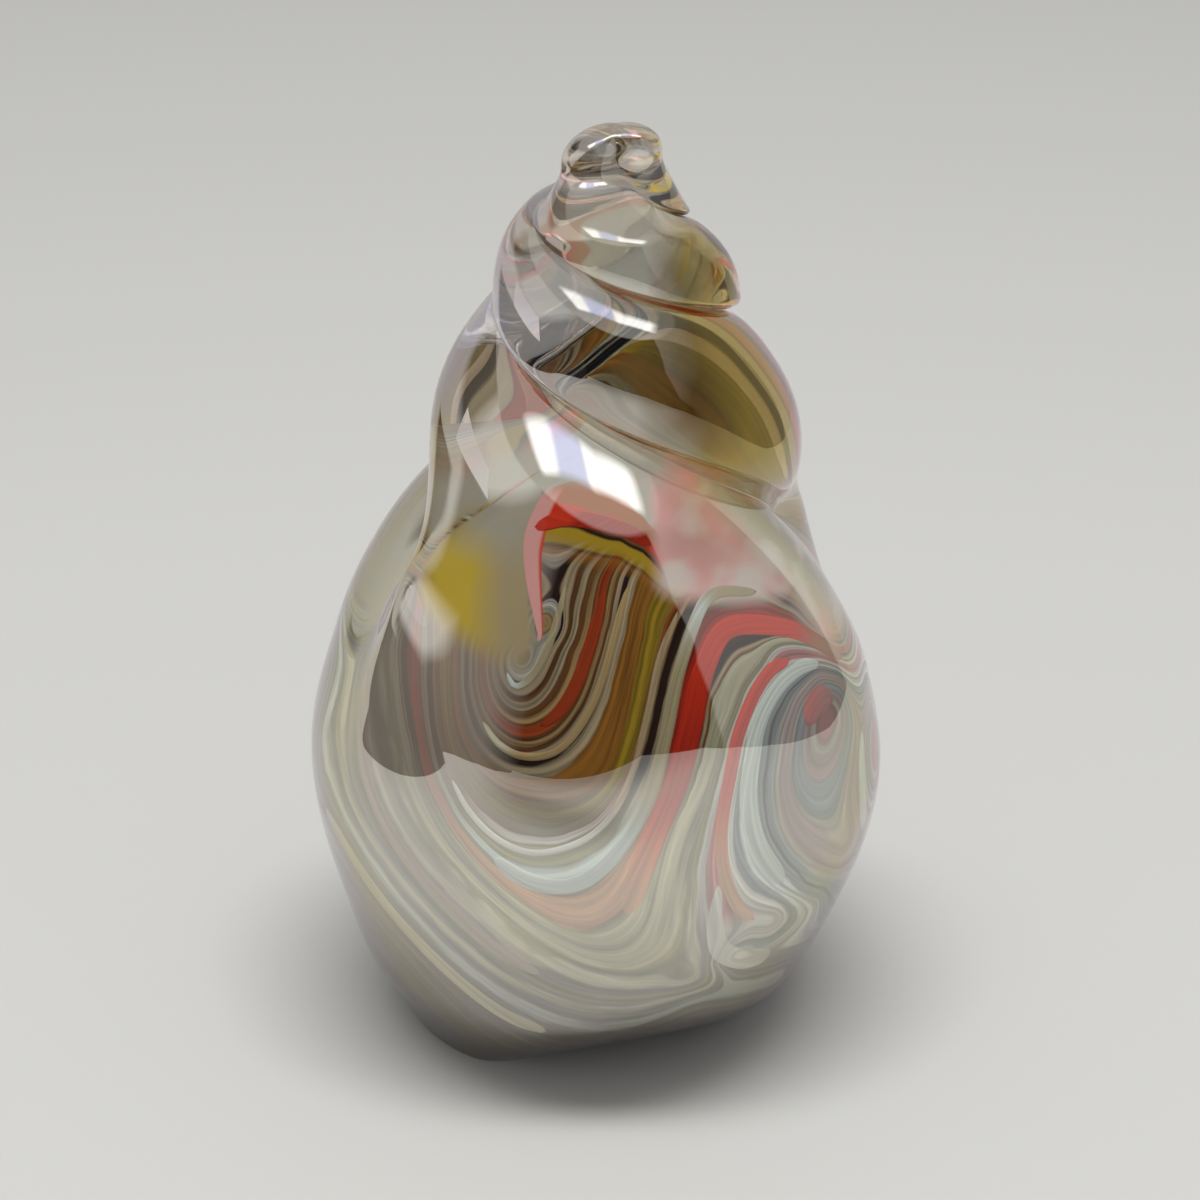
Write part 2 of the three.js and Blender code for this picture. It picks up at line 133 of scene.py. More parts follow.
def height_after(turns):
    """The same the other way round: the height at which the twist has made so many turns."""
    body, tip = BODY_STOP_DROP - BODY_EASE_DROP, TIP_EASE_DROP - TIP_STOP_DROP
    drop = ZERO_TURN_DROP * GROWTH_PER_TURN ** turns
    share = np.clip((drop - BODY_EASE_DROP) / body, -NEARLY_ONE, NEARLY_ONE)
    drop = np.where(drop > BODY_EASE_DROP, BODY_EASE_DROP + body * np.arctanh(share), drop)
    share = np.clip((TIP_EASE_DROP - drop) / tip, -NEARLY_ONE, NEARLY_ONE)
    drop = np.where(drop < TIP_EASE_DROP, TIP_EASE_DROP - tip * np.arctanh(share), drop)
    return VANISHING_HEIGHT - drop


print("turns from foot to tip:", round(float(turns_at(0.0) - turns_at(CROWN)), 2))

# %% [markdown]
# ## Grooves and the ground side
# Two strands wind side by side, so two grooves run between them, and each runs out on the bulb
# along its own path. One side of the foot was ground straight: where that straight side lies
# inside the round one it wins, and a high power joins the two with a slightly eased edge.

# %% Grooves
GROOVE_END_HEIGHT, GROOVE_FULL_HEIGHT = 60, 69


def strands_at(angle, height):
    """Strands passed by: a whole number lies in a groove, a half on the ridge of a strand."""
    return 2 * (turns_at(height) - angle / (2 * math.pi)) + 0.5


def valley_at(angle, height):
    """Radius in the groove as a share of the ridge. A groove that runs out leaves 1."""
    groove = (np.rint(strands_at(angle, height)) - 0.5) / 2 + angle / (2 * math.pi)
    s = np.clip((height_after(groove) - GROOVE_END_HEIGHT)
                / (GROOVE_FULL_HEIGHT - GROOVE_END_HEIGHT), 0, 1)
    return 1 - (1 - at(height, "valley")) * s * s * (3 - 2 * s)


print("radius in a groove at 90 mm:", round(float(at(90.0, "valley")), 2), "of the ridge")

# %% Radius with the ground side
FLAT_SIDE_ANGLE = math.radians(289)
FLAT_SIDE_REACH, FLAT_SIDE_HEIGHT, CLEAR_OF_THE_BODY = 14.9, 19.0, 1.3
JOINING_POWER = 14


def gather_radius(angle, height, bulge):
    valley = valley_at(angle, height)
    swell = np.maximum(np.sin(math.pi * (strands_at(angle, height) % 1)), 0) ** bulge
    rounded = at(height, "radius") * (valley + (1 - valley) * swell)
    facing = np.cos(angle - FLAT_SIDE_ANGLE)
    clear = CLEAR_OF_THE_BODY * at(FLAT_SIDE_HEIGHT, "radius")
    rise = np.maximum(height / FLAT_SIDE_HEIGHT, 0)
    straight = (FLAT_SIDE_REACH + (clear - FLAT_SIDE_REACH) * rise) / np.maximum(facing, 0.05)
    joined = (rounded ** -JOINING_POWER + straight ** -JOINING_POWER) ** (-1 / JOINING_POWER)
    return np.where((facing < 0.05) | (height > FLAT_SIDE_HEIGHT), rounded, joined)


print("the ground side faces", round(math.degrees(FLAT_SIDE_ANGLE)), "degrees")

# %% [markdown]
# ## Points on the surface
# A strand sags a little while it is hot, so each ridge hangs over the groove below it, and the
# whole tail leans. These shifts are added to the round shape last. The core follows the same
# shape further in, and both close at the top in a rounded dome.

# %% Points on the gather and on the core inside it
OVERHANG, OVERHANG_MARGIN = 0.05, 6
CROWN_ROUNDING = 5
CASING_WALL = 2.3
CORE_HEIGHT, CORE_DOME, CORE_BULGE = 76, 34, 2
DOME_POWER = 2.4


def dome(below_top, length):
    s = np.clip(below_top / length, 0, 1)
    return (1 - (1 - s) ** DOME_POWER) ** (1 / DOME_POWER)


def place(angle, height, radius, closing):
    x = radius * np.cos(angle)
    hang = (OVERHANG * at(height, "overhang") * closing
            * np.maximum(VANISHING_HEIGHT + OVERHANG_MARGIN - height, 0)
            * np.sin(math.pi * (strands_at(angle, height) % 1) ** 3) ** 2)
    return np.stack([at(height, "offset") + x, radius * np.sin(angle),
                     height - hang - at(height, "lean") * x], axis=-1)


def gather_point(angle, height):
    closing = dome(CROWN - height, CROWN_ROUNDING)
    return place(angle, height, gather_radius(angle, height, at(height, "bulge")) * closing,
                 closing)


def core_point(angle, height, grow=0.0):
    closing = dome(CORE_HEIGHT + grow - height, CORE_DOME)
    radius = gather_radius(angle, height, CORE_BULGE) - CASING_WALL + grow
    return place(angle, height, radius * closing, closing)


print("crown at", gather_point(np.float64(0), CROWN).round(2), "mm")

# %% [markdown]
# ## A sheet rolled into a closed body
# Every piece here is a closed body with rings: casing, core and trails. By hand one would add
# a grid, roll it up, and weld its long edges and its two ends. The rolling is where code helps:
# each point of the grid knows its column and its ring, and one formula says where it goes.
# Merging by distance then closes the seam and both poles.

# %% Helper: roll a grid
WELD = 1e-6


def rolled(name, columns, rings, where):
    bpy.ops.object.select_all(action="DESELECT")
    bpy.ops.mesh.primitive_grid_add(x_subdivisions=columns, y_subdivisions=rings - 1, size=1,
                                    location=(0, 0, 0))
    piece = bpy.context.object
    piece.name = piece.data.name = name
    mesh = piece.data
    flat = np.empty(3 * len(mesh.vertices))
    mesh.vertices.foreach_get("co", flat)
    flat = flat.reshape(-1, 3)
    column = np.rint((flat[:, 0] + 0.5) * columns).astype(int) % columns
    ring = np.rint((flat[:, 1] + 0.5) * (rings - 1)).astype(int)
    points, marks = where(column, ring)
    mesh.vertices.foreach_set("co", (points * MM).ravel())
    for mark, values in marks.items():
        mesh.attributes.new(mark, "FLOAT", "POINT").data.foreach_set("value", values)
    bpy.ops.object.mode_set(mode="EDIT")
    bpy.ops.mesh.select_all(action="SELECT")
    bpy.ops.mesh.remove_doubles(threshold=WELD)
    bpy.ops.mesh.normals_make_consistent(inside=False)
    bpy.ops.object.mode_set(mode="OBJECT")
    bpy.ops.object.shade_smooth()
    print(name, len(mesh.polygons), "faces")
    return piece


print("points closer than", WELD / MM, "mm are welded")


# %% Helper: columns that follow the strands
def strand_angle(column, height, per_strand):
    """Angle of a column that runs up along its strand. Columns lie closer beside a groove."""
    strand = column // per_strand
    share = column / per_strand - strand
    across = (share + (1 - np.cos(math.pi * share)) / 2) / 2
    return 2 * math.pi * turns_at(height) + math.pi * (strand + across + 0.5)


print("the first column ends at", round(math.degrees(strand_angle(0, CROWN, 1)) % 360), "degrees")


# %% [markdown]
# ## Clear casing
# The outside of the piece is one skin of clear glass. It is rolled with 300 columns, closer
# together beside the grooves, and its rings are closest in the spire, where the twist is fast.
# The ground edge of the foot gets a few rings of its own, so that it stays crisp but not sharp.

# %% Clear casing
CASING_PER_STRAND = 150
SKIN_INSET = 0.15
CLOSING_POWER = 1.2
FOOT_EDGE = [(0, 1), (0, 0.6), (0, 0.06), (0, 0.018), (0.08, 0.004), (0.3, 0)]
body_heights = np.linspace(0.6, 58, 90)
spire_heights = np.linspace(58.3, CROWN - CROWN_ROUNDING, 175)
crown_heights = CROWN - CROWN_ROUNDING * (1 - np.sin(
    np.linspace(0, math.pi / 2, 32)[1:])) ** CLOSING_POWER
casing_rings = np.array(FOOT_EDGE + [(h, 0) for h in
                        np.concatenate([body_heights, spire_heights, crown_heights])])


def casing_place(column, ring):
    height, inset = casing_rings[ring].T
    points = gather_point(strand_angle(column, height, CASING_PER_STRAND), height)
    inward = (np.array([SHAPE["offset"][0], 0, 0]) - points) * [1, 1, 0]
    inset = inset + SKIN_INSET / SHAPE["radius"][2]
    return points + inward * np.minimum(inset, 1)[:, None], {}


casing = rolled("clear_casing_skin", 2 * CASING_PER_STRAND, len(casing_rings), casing_place)

# %% [markdown]
# ## How the colours flow
# The trails of coloured glass are laid on hot and raked, so neighbouring lines never cross:
# they run like the contour lines of a landscape. That gives a way to make them. A few routes
# are drawn on the core, each with a level, and a smooth field is fitted through all of them.
# Its contours fill the space between the routes with lines that bend the same way.

# %% Routes of the flow: level, then angle in degrees and height in millimetres
FLOW = [
    (32.8, [(250.5, 73), (251, 70), (251.2, 67.5), (250.8, 65.2)]),
    (31, [(250.8, 65.2), (250, 63.2), (248.6, 61.6), (246.6, 60.6), (244.4, 60.6)]),
    (27, [(253.5, 69), (253, 65), (251.5, 61.5), (248.5, 58.6), (244.5, 57), (240.7, 57.8),
          (238.6, 60), (239.5, 62.3), (242.5, 63)]),
    (24, [(259, 69.5), (258.5, 65), (256, 60.3), (251.8, 56.6), (246.5, 54.8), (241, 54.9),
          (236.6, 57.2), (235.2, 60.5), (237.5, 64.5), (241, 66.5)]),
    (21, [(267.5, 69.5), (266, 65.4), (263, 60.8), (259, 57), (253, 53.8), (247, 52.6),
          (240, 52.9), (234, 55.6), (231, 59.6), (232, 64)]),
    (18, [(273, 69.5), (270.5, 64.6), (268, 60.8), (264, 56.3), (258, 52.3), (250, 50.1),
          (243, 49.8), (236, 51.4), (230, 54.4), (226, 58.5), (226, 63)]),
    (16, [(302, 68.5), (292, 70), (284, 70.3), (278, 69.3), (274.5, 65.5), (271.5, 61),
          (268.5, 57), (263, 52.3), (256, 49), (248, 47.7), (240, 48), (232, 50.3), (225, 54),
          (221, 58.5)]),
    (13, [(293, 68.5), (285, 67), (281, 62), (277.5, 56.5), (273.5, 51), (268, 46.8),
          (260, 43.6), (250, 43.2), (240, 45), (231, 48), (222, 52.3), (216, 57)]),
    (10, [(318, 66.8), (304, 68), (294, 67), (287, 64.5), (282, 60), (278, 54.5), (274, 48.8),
          (269.5, 43.8), (263, 40.6), (255, 39.3), (248, 40.2), (240, 42.5), (232, 45.6),
          (224, 49.6), (216, 54), (210, 58)]),
    (8, [(330, 61.5), (318, 65), (304, 66.3), (296, 65.5), (288.5, 61), (284, 55.5), (280, 49),
         (275.5, 42.8), (270.5, 38), (264, 35.5), (256, 35.6), (248, 38), (240, 40.8),
         (231, 44), (222, 48), (214, 52.3), (207, 57)]),
    (5.5, [(341, 55), (327, 60.3), (312, 63), (302, 63.2), (295, 60.5), (290.3, 56),
           (286, 50.5), (282, 44.5), (279, 38.5), (276, 32.5), (270.5, 29.3), (262, 30.3),
           (254, 33), (246, 36.5), (238, 40), (229, 43.5), (220, 47.2), (211, 51.6), (204, 56)]),
    (3.5, [(313, 61.2), (303, 60.5), (297.5, 57.5), (293.5, 53.5), (290, 49), (287, 45),
           (285.6, 41), (284.8, 36), (284, 31), (282.5, 26.5), (277, 24.3), (269, 25),
           (262, 27.3), (254, 30.7), (246, 34.3), (237, 38.3), (228, 42), (218, 46),
           (209, 50.3), (201, 55)]),
    (2.5, [(316, 60.6), (306, 58.5), (299.5, 54.5), (295.5, 50), (292, 45), (290, 40),
           (289, 34), (289.5, 28), (289, 23.5), (283, 21.8), (275, 22), (266, 24), (256, 27.8),
           (246, 32.3), (236, 36.8), (226, 40.9), (215, 45.3), (206, 49.5), (198, 54)]),
    (0.8, [(316, 60), (308, 57.8), (301, 54.2), (296.5, 49), (293.2, 43), (292.2, 37),
           (293.5, 31), (296, 25), (297.5, 21)]),
    (-2, [(320, 58.9), (312.5, 58.8), (305.5, 56.7), (300.3, 53.3), (297.4, 49), (295.6, 44.5),
          (295.3, 40), (296.5, 35.8), (300, 31.4), (305, 28.2), (311, 26.5)]),
    (-5, [(332, 56), (322.5, 57.6), (313.8, 57.1), (306.3, 54.4), (302.7, 50), (301.3, 45.8),
          (302.3, 40.8), (305.3, 36.4), (311, 32), (317, 29), (324, 25.5)]),
    (-7.5, [(336, 54.2), (327, 56.5), (317.5, 55.8), (311, 52.4), (307.6, 47.2), (307.6, 42),
            (310.5, 37.3), (317, 33), (325, 29.5), (333, 26)]),
    (-10, [(336, 52.6), (328, 55), (320, 54.4), (314.5, 51.2), (312.5, 46.5), (313.8, 42.7),
           (318.5, 39), (325, 36), (332, 33)]),
    (-13, [(330, 53.2), (325.5, 53.9), (321, 52), (320, 49)]),
    (2.2, [(192, 55), (198, 51), (206, 46.8), (215, 42.3), (225, 38.3), (236, 33.7),
           (246, 29.2), (256, 25), (266, 21.7), (276, 20), (286, 20), (292, 19.5)]),
    (0.5, [(190, 48.5), (200, 44.3), (210, 39.8), (220, 35.7), (230, 31.5), (240, 27),
           (250, 22.5), (260, 19), (270, 17.3), (280, 17), (290, 17.6), (298, 18.6)]),
    (-1.5, [(190, 40), (200, 37.2), (210, 33.8), (220, 30), (230, 25.6), (240, 21),
            (250, 16.8), (260, 13.8), (272, 12.3), (285, 13.2), (297, 16), (310, 15.6),
            (325, 13)]),
    (-4, [(190, 30.5), (198, 30), (208, 28), (218, 24), (228, 19.6), (238, 15.2), (248, 11.3),
          (258, 8.5), (270, 7), (285, 8), (300, 11), (320, 10)]),
    (-7, [(195, 20), (205, 20.3), (215, 17.5), (225, 13), (235, 8.5), (245, 4.5)]),
    (-10, [(200, 8), (212, 8.5), (222, 5), (230, 1)]),
    (24, [(283, 72.5), (300, 71.5), (320, 69), (340, 65.5), (360, 60)]),
    (33, [(200, 73.2), (220, 73.4), (240, 73.6), (260, 73.7), (280, 73.8)]),
    (-15, [(350, 42.5), (352.5, 41), (350, 39.5)]),
    (-9, [(352, 48), (344, 47), (339.5, 44.5), (337.6, 41), (338, 36.5), (341, 32),
          (346, 28.5)]),
    (-4.5, [(300, 22.5), (310, 20.5), (320, 19), (332, 17)]),
]
BACK_TURN = 190
FOOT_LEVEL = -12.0
MARK_SPACING = 2.6
print(len(FLOW), "routes on each side")


# %% Helper: a soft step
def soft_step(value, low, high):
    """0 below the low value and 1 above the high one, with no kink between."""
    s = np.clip((value - low) / (high - low), 0, 1)
    return s * s * (3 - 2 * s)


print("a soft step from 0 to 4 is", soft_step(1, 0, 4).round(2), "at 1")

# %% [markdown]
# ## What the twist does to the pattern
# The routes were laid while the tail was still straight. Twisting it drags the hot skin of the
# left shoulder round and up, most of all half way up the piece. The trails are dragged in the
# same way, because they lie in the same skin.

# %% Drag the routes along
DRAG_TURN, DRAG_RISE = 9, 4.8
DRAG_EDGE_ANGLE, DRAG_REACH = 280, 60
DRAG_FOOT_HEIGHT, DRAG_PEAK_HEIGHT, DRAG_TOP_HEIGHT = 36, 54, 72


def dragged(route):
    angle, height = np.array(route, float).T
    front = np.where(angle < BACK_TURN, angle + BACK_TURN, angle)
    left = np.clip((DRAG_EDGE_ANGLE - front) / DRAG_REACH, 0, 1)
    raised = soft_step(height, DRAG_FOOT_HEIGHT, DRAG_PEAK_HEIGHT)
    fading = 1 - soft_step(height, DRAG_PEAK_HEIGHT, DRAG_TOP_HEIGHT)
    return np.stack([angle + DRAG_TURN * left ** 2 * raised,
                     height + DRAG_RISE * left * raised * fading], axis=1)


print("the hook moves from (250, 60) to", dragged([(250, 60)])[0].round(1))

# %% Fit a smooth field through the routes
SOFTNESS, LOOSENESS = 2.0, 0.3


def spaced(route, spacing):
    """Points along a route of angle and height, at an even spacing in millimetres."""
    route = np.array(route, float)
    step = np.diff(route, axis=0) * [math.radians(SHAPE["radius"][2]), 1]
    length = np.concatenate([[0], np.cumsum(np.hypot(*step.T))])
    count = max(2, int(length[-1] / spacing))
    along = np.linspace(0, length[-1], count)
    return np.stack([np.interp(along, length, route[:, i]) for i in (0, 1)], axis=1)


def far(a, b):
    square = (a ** 2).sum(1)[:, None] + (b ** 2).sum(1)[None] - 2 * a @ b.T
    return np.sqrt(np.maximum(square, 0) + SOFTNESS ** 2)


marks, levels = [], []
for turn in (0, -BACK_TURN):
    for level, route in FLOW:
        points = spaced(dragged(route), MARK_SPACING)
        marks.append(core_point(np.radians(points[:, 0] + turn), points[:, 1]))
        levels.append(np.full(len(points), float(level)))
foot_angles = np.radians(np.arange(0, 360, 15))
marks.append(core_point(foot_angles, np.zeros(len(foot_angles))))
levels.append(np.full(len(foot_angles), FOOT_LEVEL))
marks, levels = np.concatenate(marks), np.concatenate(levels)
count = len(marks)
system = np.zeros((count + 4, count + 4))
system[:count, :count] = far(marks, marks) - LOOSENESS * np.eye(count)
system[:count, count] = system[count, :count] = 1
system[:count, count + 1:] = marks
system[count + 1:, :count] = marks.T
weights = np.linalg.solve(system, np.concatenate([levels, np.zeros(4)]))


def flow_level(points):
    found = [far(part, marks) @ weights[:count] + weights[count] + part @ weights[count + 1:]
             for part in np.array_split(points, max(1, len(points) // 8000))]
    return np.concatenate(found)


print("flow fitted through", count, "points")

# %% [markdown]
# ## Marbled core
# The core is rolled like the casing, 2.3 mm further in, and ends in a dome under the spire.
# It carries the flow field as a number at every vertex. A colour ramp reads it later, which
# keeps the bands crisp however coarse the mesh is.

# %% Rings of the core
CORE_PER_STRAND = 200
CORE_FOOT, DOME_START = 0.15, 62
low_heights = np.linspace(CORE_FOOT, DOME_START, 150)
dome_heights = CORE_HEIGHT - (CORE_HEIGHT - DOME_START) * (1 - np.sin(
    np.linspace(0, math.pi / 2, 76)[1:])) ** CLOSING_POWER
core_rings = np.array([(CORE_FOOT, 1), (CORE_FOOT, 0.5), (CORE_FOOT, 0.02)] + [
    (h, 0) for h in np.concatenate([low_heights, dome_heights])])
print(len(core_rings), "rings of", 2 * CORE_PER_STRAND, "points")

# %% [markdown]
# ## Glass that doesn't follow the flow
# The raked eyes, the stem that climbs out of the hook, the smoky glass over the shoulders and
# the amber glass over the middle have places of their own. Each is a share from 0 to 1, worked
# out from the angle in degrees and the height in millimetres, and kept in the mesh, so that a
# material can mix by it. Soft steps keep the edges from looking cut.

# %% Raked eyes
EYE_CENTRE, EYE_REACH = (325, 43), (38, 24)


def eye_share(angle, height):
    """1 in the raked eyes at the front and the back, 0 outside them."""
    share = 0
    for turn in (0, -BACK_TURN):
        away = np.mod(np.degrees(angle) - EYE_CENTRE[0] - turn + 180, 360) - 180
        reach = np.hypot(away / EYE_REACH[0], (height - EYE_CENTRE[1]) / EYE_REACH[1])
        share = np.maximum(share, np.clip((1.06 - reach) / 0.12, 0, 1))
    return share


print("the front eye lies at", EYE_CENTRE)

# %% Stem and smoky glass
STEM_ANGLE, STEM_HEIGHT = 251.3, 64.7
HAZE_SLANT, HAZE_BASE = 1.7, 61
CROWN_LINE = [(222, 73.2), (232.3, 73.7), (237.7, 74.1), (249.7, 73.8), (260.7, 73.4),
              (271.1, 73.1), (279.6, 72.1), (284.2, 71.2), (290, 69.8)]


def stem_offset(turn, height):
    """Degrees from the middle of the red stem, which climbs from the hook and bends left."""
    above = np.maximum(height - STEM_HEIGHT, 0)
    return turn - (STEM_ANGLE - 1.25 * above - 0.12 * above ** 2)


def haze_share(angle, height):
    """1 where plain smoky glass lies over the colours: left and right of the hook, and on top."""
    turn = np.mod(np.degrees(angle), 360)
    left = (soft_step(turn, 196, 202) * soft_step(-stem_offset(turn, height), 0.5, 4)
            * soft_step(height, 60, 64))
    right = soft_step(turn, 281, 288) * soft_step(height + 0.1 * (turn - 290), 66.4, 68.2)
    side = (soft_step(turn, 325, 340) * soft_step(height, 54, 59)
            * (1 - 0.45 * soft_step(turn, 345, 360)))
    behind = (soft_step(-turn, -200, -190) * soft_step(height, 54, 59)
              * (0.55 + 0.45 * soft_step(turn, 140, 172)))
    far_left = soft_step(turn, 150, 170) * soft_step(-turn, -200, -190) * soft_step(height, 50, 54)
    return np.max([left, right, side, behind, far_left, soft_step(height, 74.3, 75)], axis=0)


print("smoky glass at the left shoulder:", haze_share(math.radians(220), 66.0).round(2))


# %% Amber glass
def amber_share(angle, height):
    """1 where the upper middle lies under amber glass, at the front and at the back."""
    share = 0
    for turn in (0, -BACK_TURN):
        front = np.mod(np.degrees(angle) - turn, 360)
        share = np.maximum(share, soft_step(front, 246, 252) * soft_step(-front, -300, -288))
    return share * soft_step(height, 42, 50)


print("amber glass in the middle:", amber_share(math.radians(270), 60.0).round(2))


# %% Marbled core
def core_place(column, ring):
    height, inset = core_rings[ring].T
    angle = strand_angle(column, height, CORE_PER_STRAND)
    points = core_point(angle, height)
    centre = np.array([SHAPE["offset"][0], 0, 0])
    points = points + (centre - points) * [1, 1, 0] * inset[:, None]
    turn = np.mod(np.degrees(angle), 360)
    stem_width = np.maximum(0.8 + 0.55 * (height - STEM_HEIGHT), 0.2)
    return points, {"flow": flow_level(points), "eye": eye_share(angle, height),
                    "haze": haze_share(angle, height), "sweep": turn,
                    "drift": turn + HAZE_SLANT * (height - HAZE_BASE),
                    "stem": np.clip(stem_offset(turn, height) / stem_width, -4, 4),
                    "crown": height - np.interp(turn, *np.transpose(CROWN_LINE))}


core = rolled("marbled_core", 2 * CORE_PER_STRAND, len(core_rings), core_place)

# %% [markdown]
# ## Trails of coloured glass
# The boldest trails are real strips of glass, melted into the skin of the core. One trail is a
# slim rod, rolled from a grid, pressed flat and led along its route. It stands a little proud
# of the core, so that its edge catches the light, and thins out at both ends.

# %% Routes of the trails: colour, width, end width, then angle and height
TRAILS = {
    "red_ribbon": ("red", 2.0, 3.2, [
        (341, 54.7), (327, 60.3), (312, 63.2), (302, 63.6), (295, 60.8), (290.5, 56.5),
        (286.5, 51), (282, 45), (279, 38.8), (276.5, 32)]),
    "blue_ribbon": ("blue", 1.2, 2.2, [
        (318, 65.2), (304, 66.6), (296, 65.6), (288.6, 61.2), (284, 55.6), (280, 49.2),
        (275.5, 43), (270.5, 38.1), (264, 35.6), (256, 35.8), (249, 37.8)]),
    "white_ribbon": ("white", 0.8, 0.8, [
        (290, 66.2), (284, 62.6), (280, 57.6), (276, 51.4), (271.5, 45.6), (266, 41.8),
        (258, 39.5), (250, 39.9), (242, 42), (236, 44.2)]),
    "ivory_ribbon": ("ivory", 0.9, 0.9, [
        (275, 68.6), (271.6, 64.6), (269, 60.6), (264.8, 56.4), (258.6, 52.3), (251, 50.2),
        (244, 50), (238, 51.2)]),
    "orange_ribbon": ("orange", 1.4, 1.7, [
        (267.6, 68.6), (265.8, 65), (262.8, 60.6), (258.8, 57), (253.5, 54.2)]),
    "hook_ribbon": ("blue", 0.9, 0.9, [
        (253.6, 68.6), (253.2, 65), (251.6, 61.6), (248.6, 58.8), (244.5, 57.2), (240.9, 58.2)]),
    "red_crescent": ("red", 1.7, 1.7, [
        (320, 58.9), (312.5, 58.8), (305.5, 56.7), (300.3, 53.3), (297.4, 49), (295.6, 44.5),
        (295.3, 40), (296.5, 35.8), (300, 31.4), (305, 28.2)]),
    "blue_crescent": ("blue", 1.6, 3, [
        (330, 56.6), (322.5, 57.6), (313.8, 57), (306.5, 54.3), (303, 50), (301.7, 45.8),
        (302.8, 40.8), (305.8, 36.6), (311, 32.6)]),
    "red_eye": ("red", 3.6, 3.6, [(319.5, 51.8), (323, 53.2), (327, 53.4), (330.5, 52.4)]),
    "crown_ribbon": ("red", 2.2, 1.5, [
        (227, 72.2), (240, 72.8), (253, 72.8), (265.5, 72.5), (275, 72), (283, 71)]),
    "side_blue_ribbon": ("blue", 1.8, 2.6, [(341, 46), (338.6, 42), (338.6, 37), (341, 32)]),
    "side_red_ribbon": ("red", 3, 3, [(351, 46), (352, 42), (351, 38), (350, 35)]),
    "arc_ribbon": ("pink", 2.2, 2.2, [
        (200, 47.6), (208, 43.4), (217, 39.3), (227, 35), (238, 30), (249, 25), (259, 21.6)]),
    "milk_ribbon": ("white", 1.4, 4, [
        (295, 35), (295.4, 29), (298.4, 24.4), (305, 21.6), (314, 20)]),
    "foot_ribbon": ("ivory", 2.4, 2.4, [
        (198, 31.4), (208, 29.6), (218, 26), (228, 21.8), (238, 17.4), (248, 13.6), (260, 11)]),
}
print(len(TRAILS), "trails at the front")

# %% The same trails behind: width, end width, points of the route that are kept
BACK_TRAILS = {"red_ribbon": (2.0, 2.8, 9), "blue_ribbon": (1.2, 2.2, 9),
               "white_ribbon": (1.1, 1.1, 8), "red_crescent": (1.8, 1.8, 9),
               "arc_ribbon": (2.2, 2.2, 7), "foot_ribbon": (2.4, 2.4, 7)}
for name, (width, end_width, kept) in BACK_TRAILS.items():
    paint, _, _, route = TRAILS[name]
    TRAILS["back_" + name] = (paint, width, end_width, [
        (angle - BACK_TURN, height) for angle, height in route[:kept]])
print(len(TRAILS), "trails")


# %% [markdown]
# ## From a route to a rod
# By hand a trail would be a circle swept along a curve. A swept circle would cut into the bent
# skin, so the rod is laid on the core instead: an even curve is led through the route, and
# each ring of the rod is set out sideways over the skin, flat below and slightly round above.


# %% Helper: a smooth curve through a route
def curved(route, spacing):
    """Even points on a smooth curve through a route (Catmull-Rom), in angle and height."""
    route = np.array(route, float)
    around = math.radians(SHAPE["radius"][2])
    ends = [2 * route[0] - route[1], 2 * route[-1] - route[-2]]
    points = np.concatenate([ends[:1], route, ends[1:]])
    t = np.linspace(0, 1, 24, endpoint=False)[:, None]
    dense = [0.5 * (2 * b + (c - a) * t + (2 * a - 5 * b + 4 * c - d) * t ** 2
                    + (3 * b - a - 3 * c + d) * t ** 3)
             for a, b, c, d in zip(points, points[1:], points[2:], points[3:])]
    dense = np.concatenate(dense + [route[-1:]])
    length = np.concatenate([[0], np.cumsum(np.hypot(*(np.diff(dense, axis=0)
                                                       * [around, 1]).T))])
    along = np.linspace(0, length[-1], max(8, int(length[-1] / spacing)))
    return np.stack([np.interp(along, length, dense[:, i]) for i in (0, 1)], axis=1), along


print("the red trail is", curved(TRAILS["red_ribbon"][3], 1.0)[1][-1].round(), "mm long")

# %% Helper: lay a rod along its route
TRAIL_COLUMNS = 16
TRAIL_STEP = 0.8
TRAIL_TAPER = 5.0
TRAIL_PROUD, TRAIL_DEEP = 0.14, 0.9
SMALL = 1e-3


def trail(name, width, end_width, route):
    middle, along = curved(dragged(route), TRAIL_STEP)
    angle, height = np.radians(middle[:, 0]), middle[:, 1]
    whole = along[-1]
    end = np.clip(np.minimum(along, whole - along) / min(TRAIL_TAPER, whole / 2), 0, 1)
    half = (width + (end_width - width) * along / whole) / 2 * np.sqrt(1 - (1 - end) ** 2)
    ahead = np.gradient(core_point(angle, height), axis=0)
    here = core_point(angle, height)
    around = (core_point(angle + SMALL, height) - here) / SMALL
    upward = (core_point(angle, height + SMALL) - here) / SMALL
    sideways = np.cross(ahead, np.cross(around, upward))
    sideways /= np.linalg.norm(sideways, axis=1, keepdims=True)
    rr, ra, aa = [(a * b).sum(1) for a, b in
                  ((around, around), (around, upward), (upward, upward))]
    sr, sa = (sideways * around).sum(1), (sideways * upward).sum(1)
    scale = rr * aa - ra * ra
    turn_step, rise_step = (sr * aa - sa * ra) / scale, (sa * rr - sr * ra) / scale

    def trail_place(column, ring):
        phase = 2 * math.pi * column / TRAIL_COLUMNS
        side = half[ring] * np.cos(phase)
        thin = half[ring] / half.max()
        lift = np.where(np.sin(phase) > 0, TRAIL_PROUD, TRAIL_DEEP) * np.sin(phase) * thin
        points = core_point(angle[ring] + side * turn_step[ring],
                            height[ring] + side * rise_step[ring], lift)
        return points, {"flow": flow_level(points),
                        "haze": haze_share(angle[ring], height[ring]),
                        "amber": amber_share(angle[ring], height[ring])}

    return rolled(name, TRAIL_COLUMNS, len(along), trail_place)


print("a rod has", TRAIL_COLUMNS, "points round it")

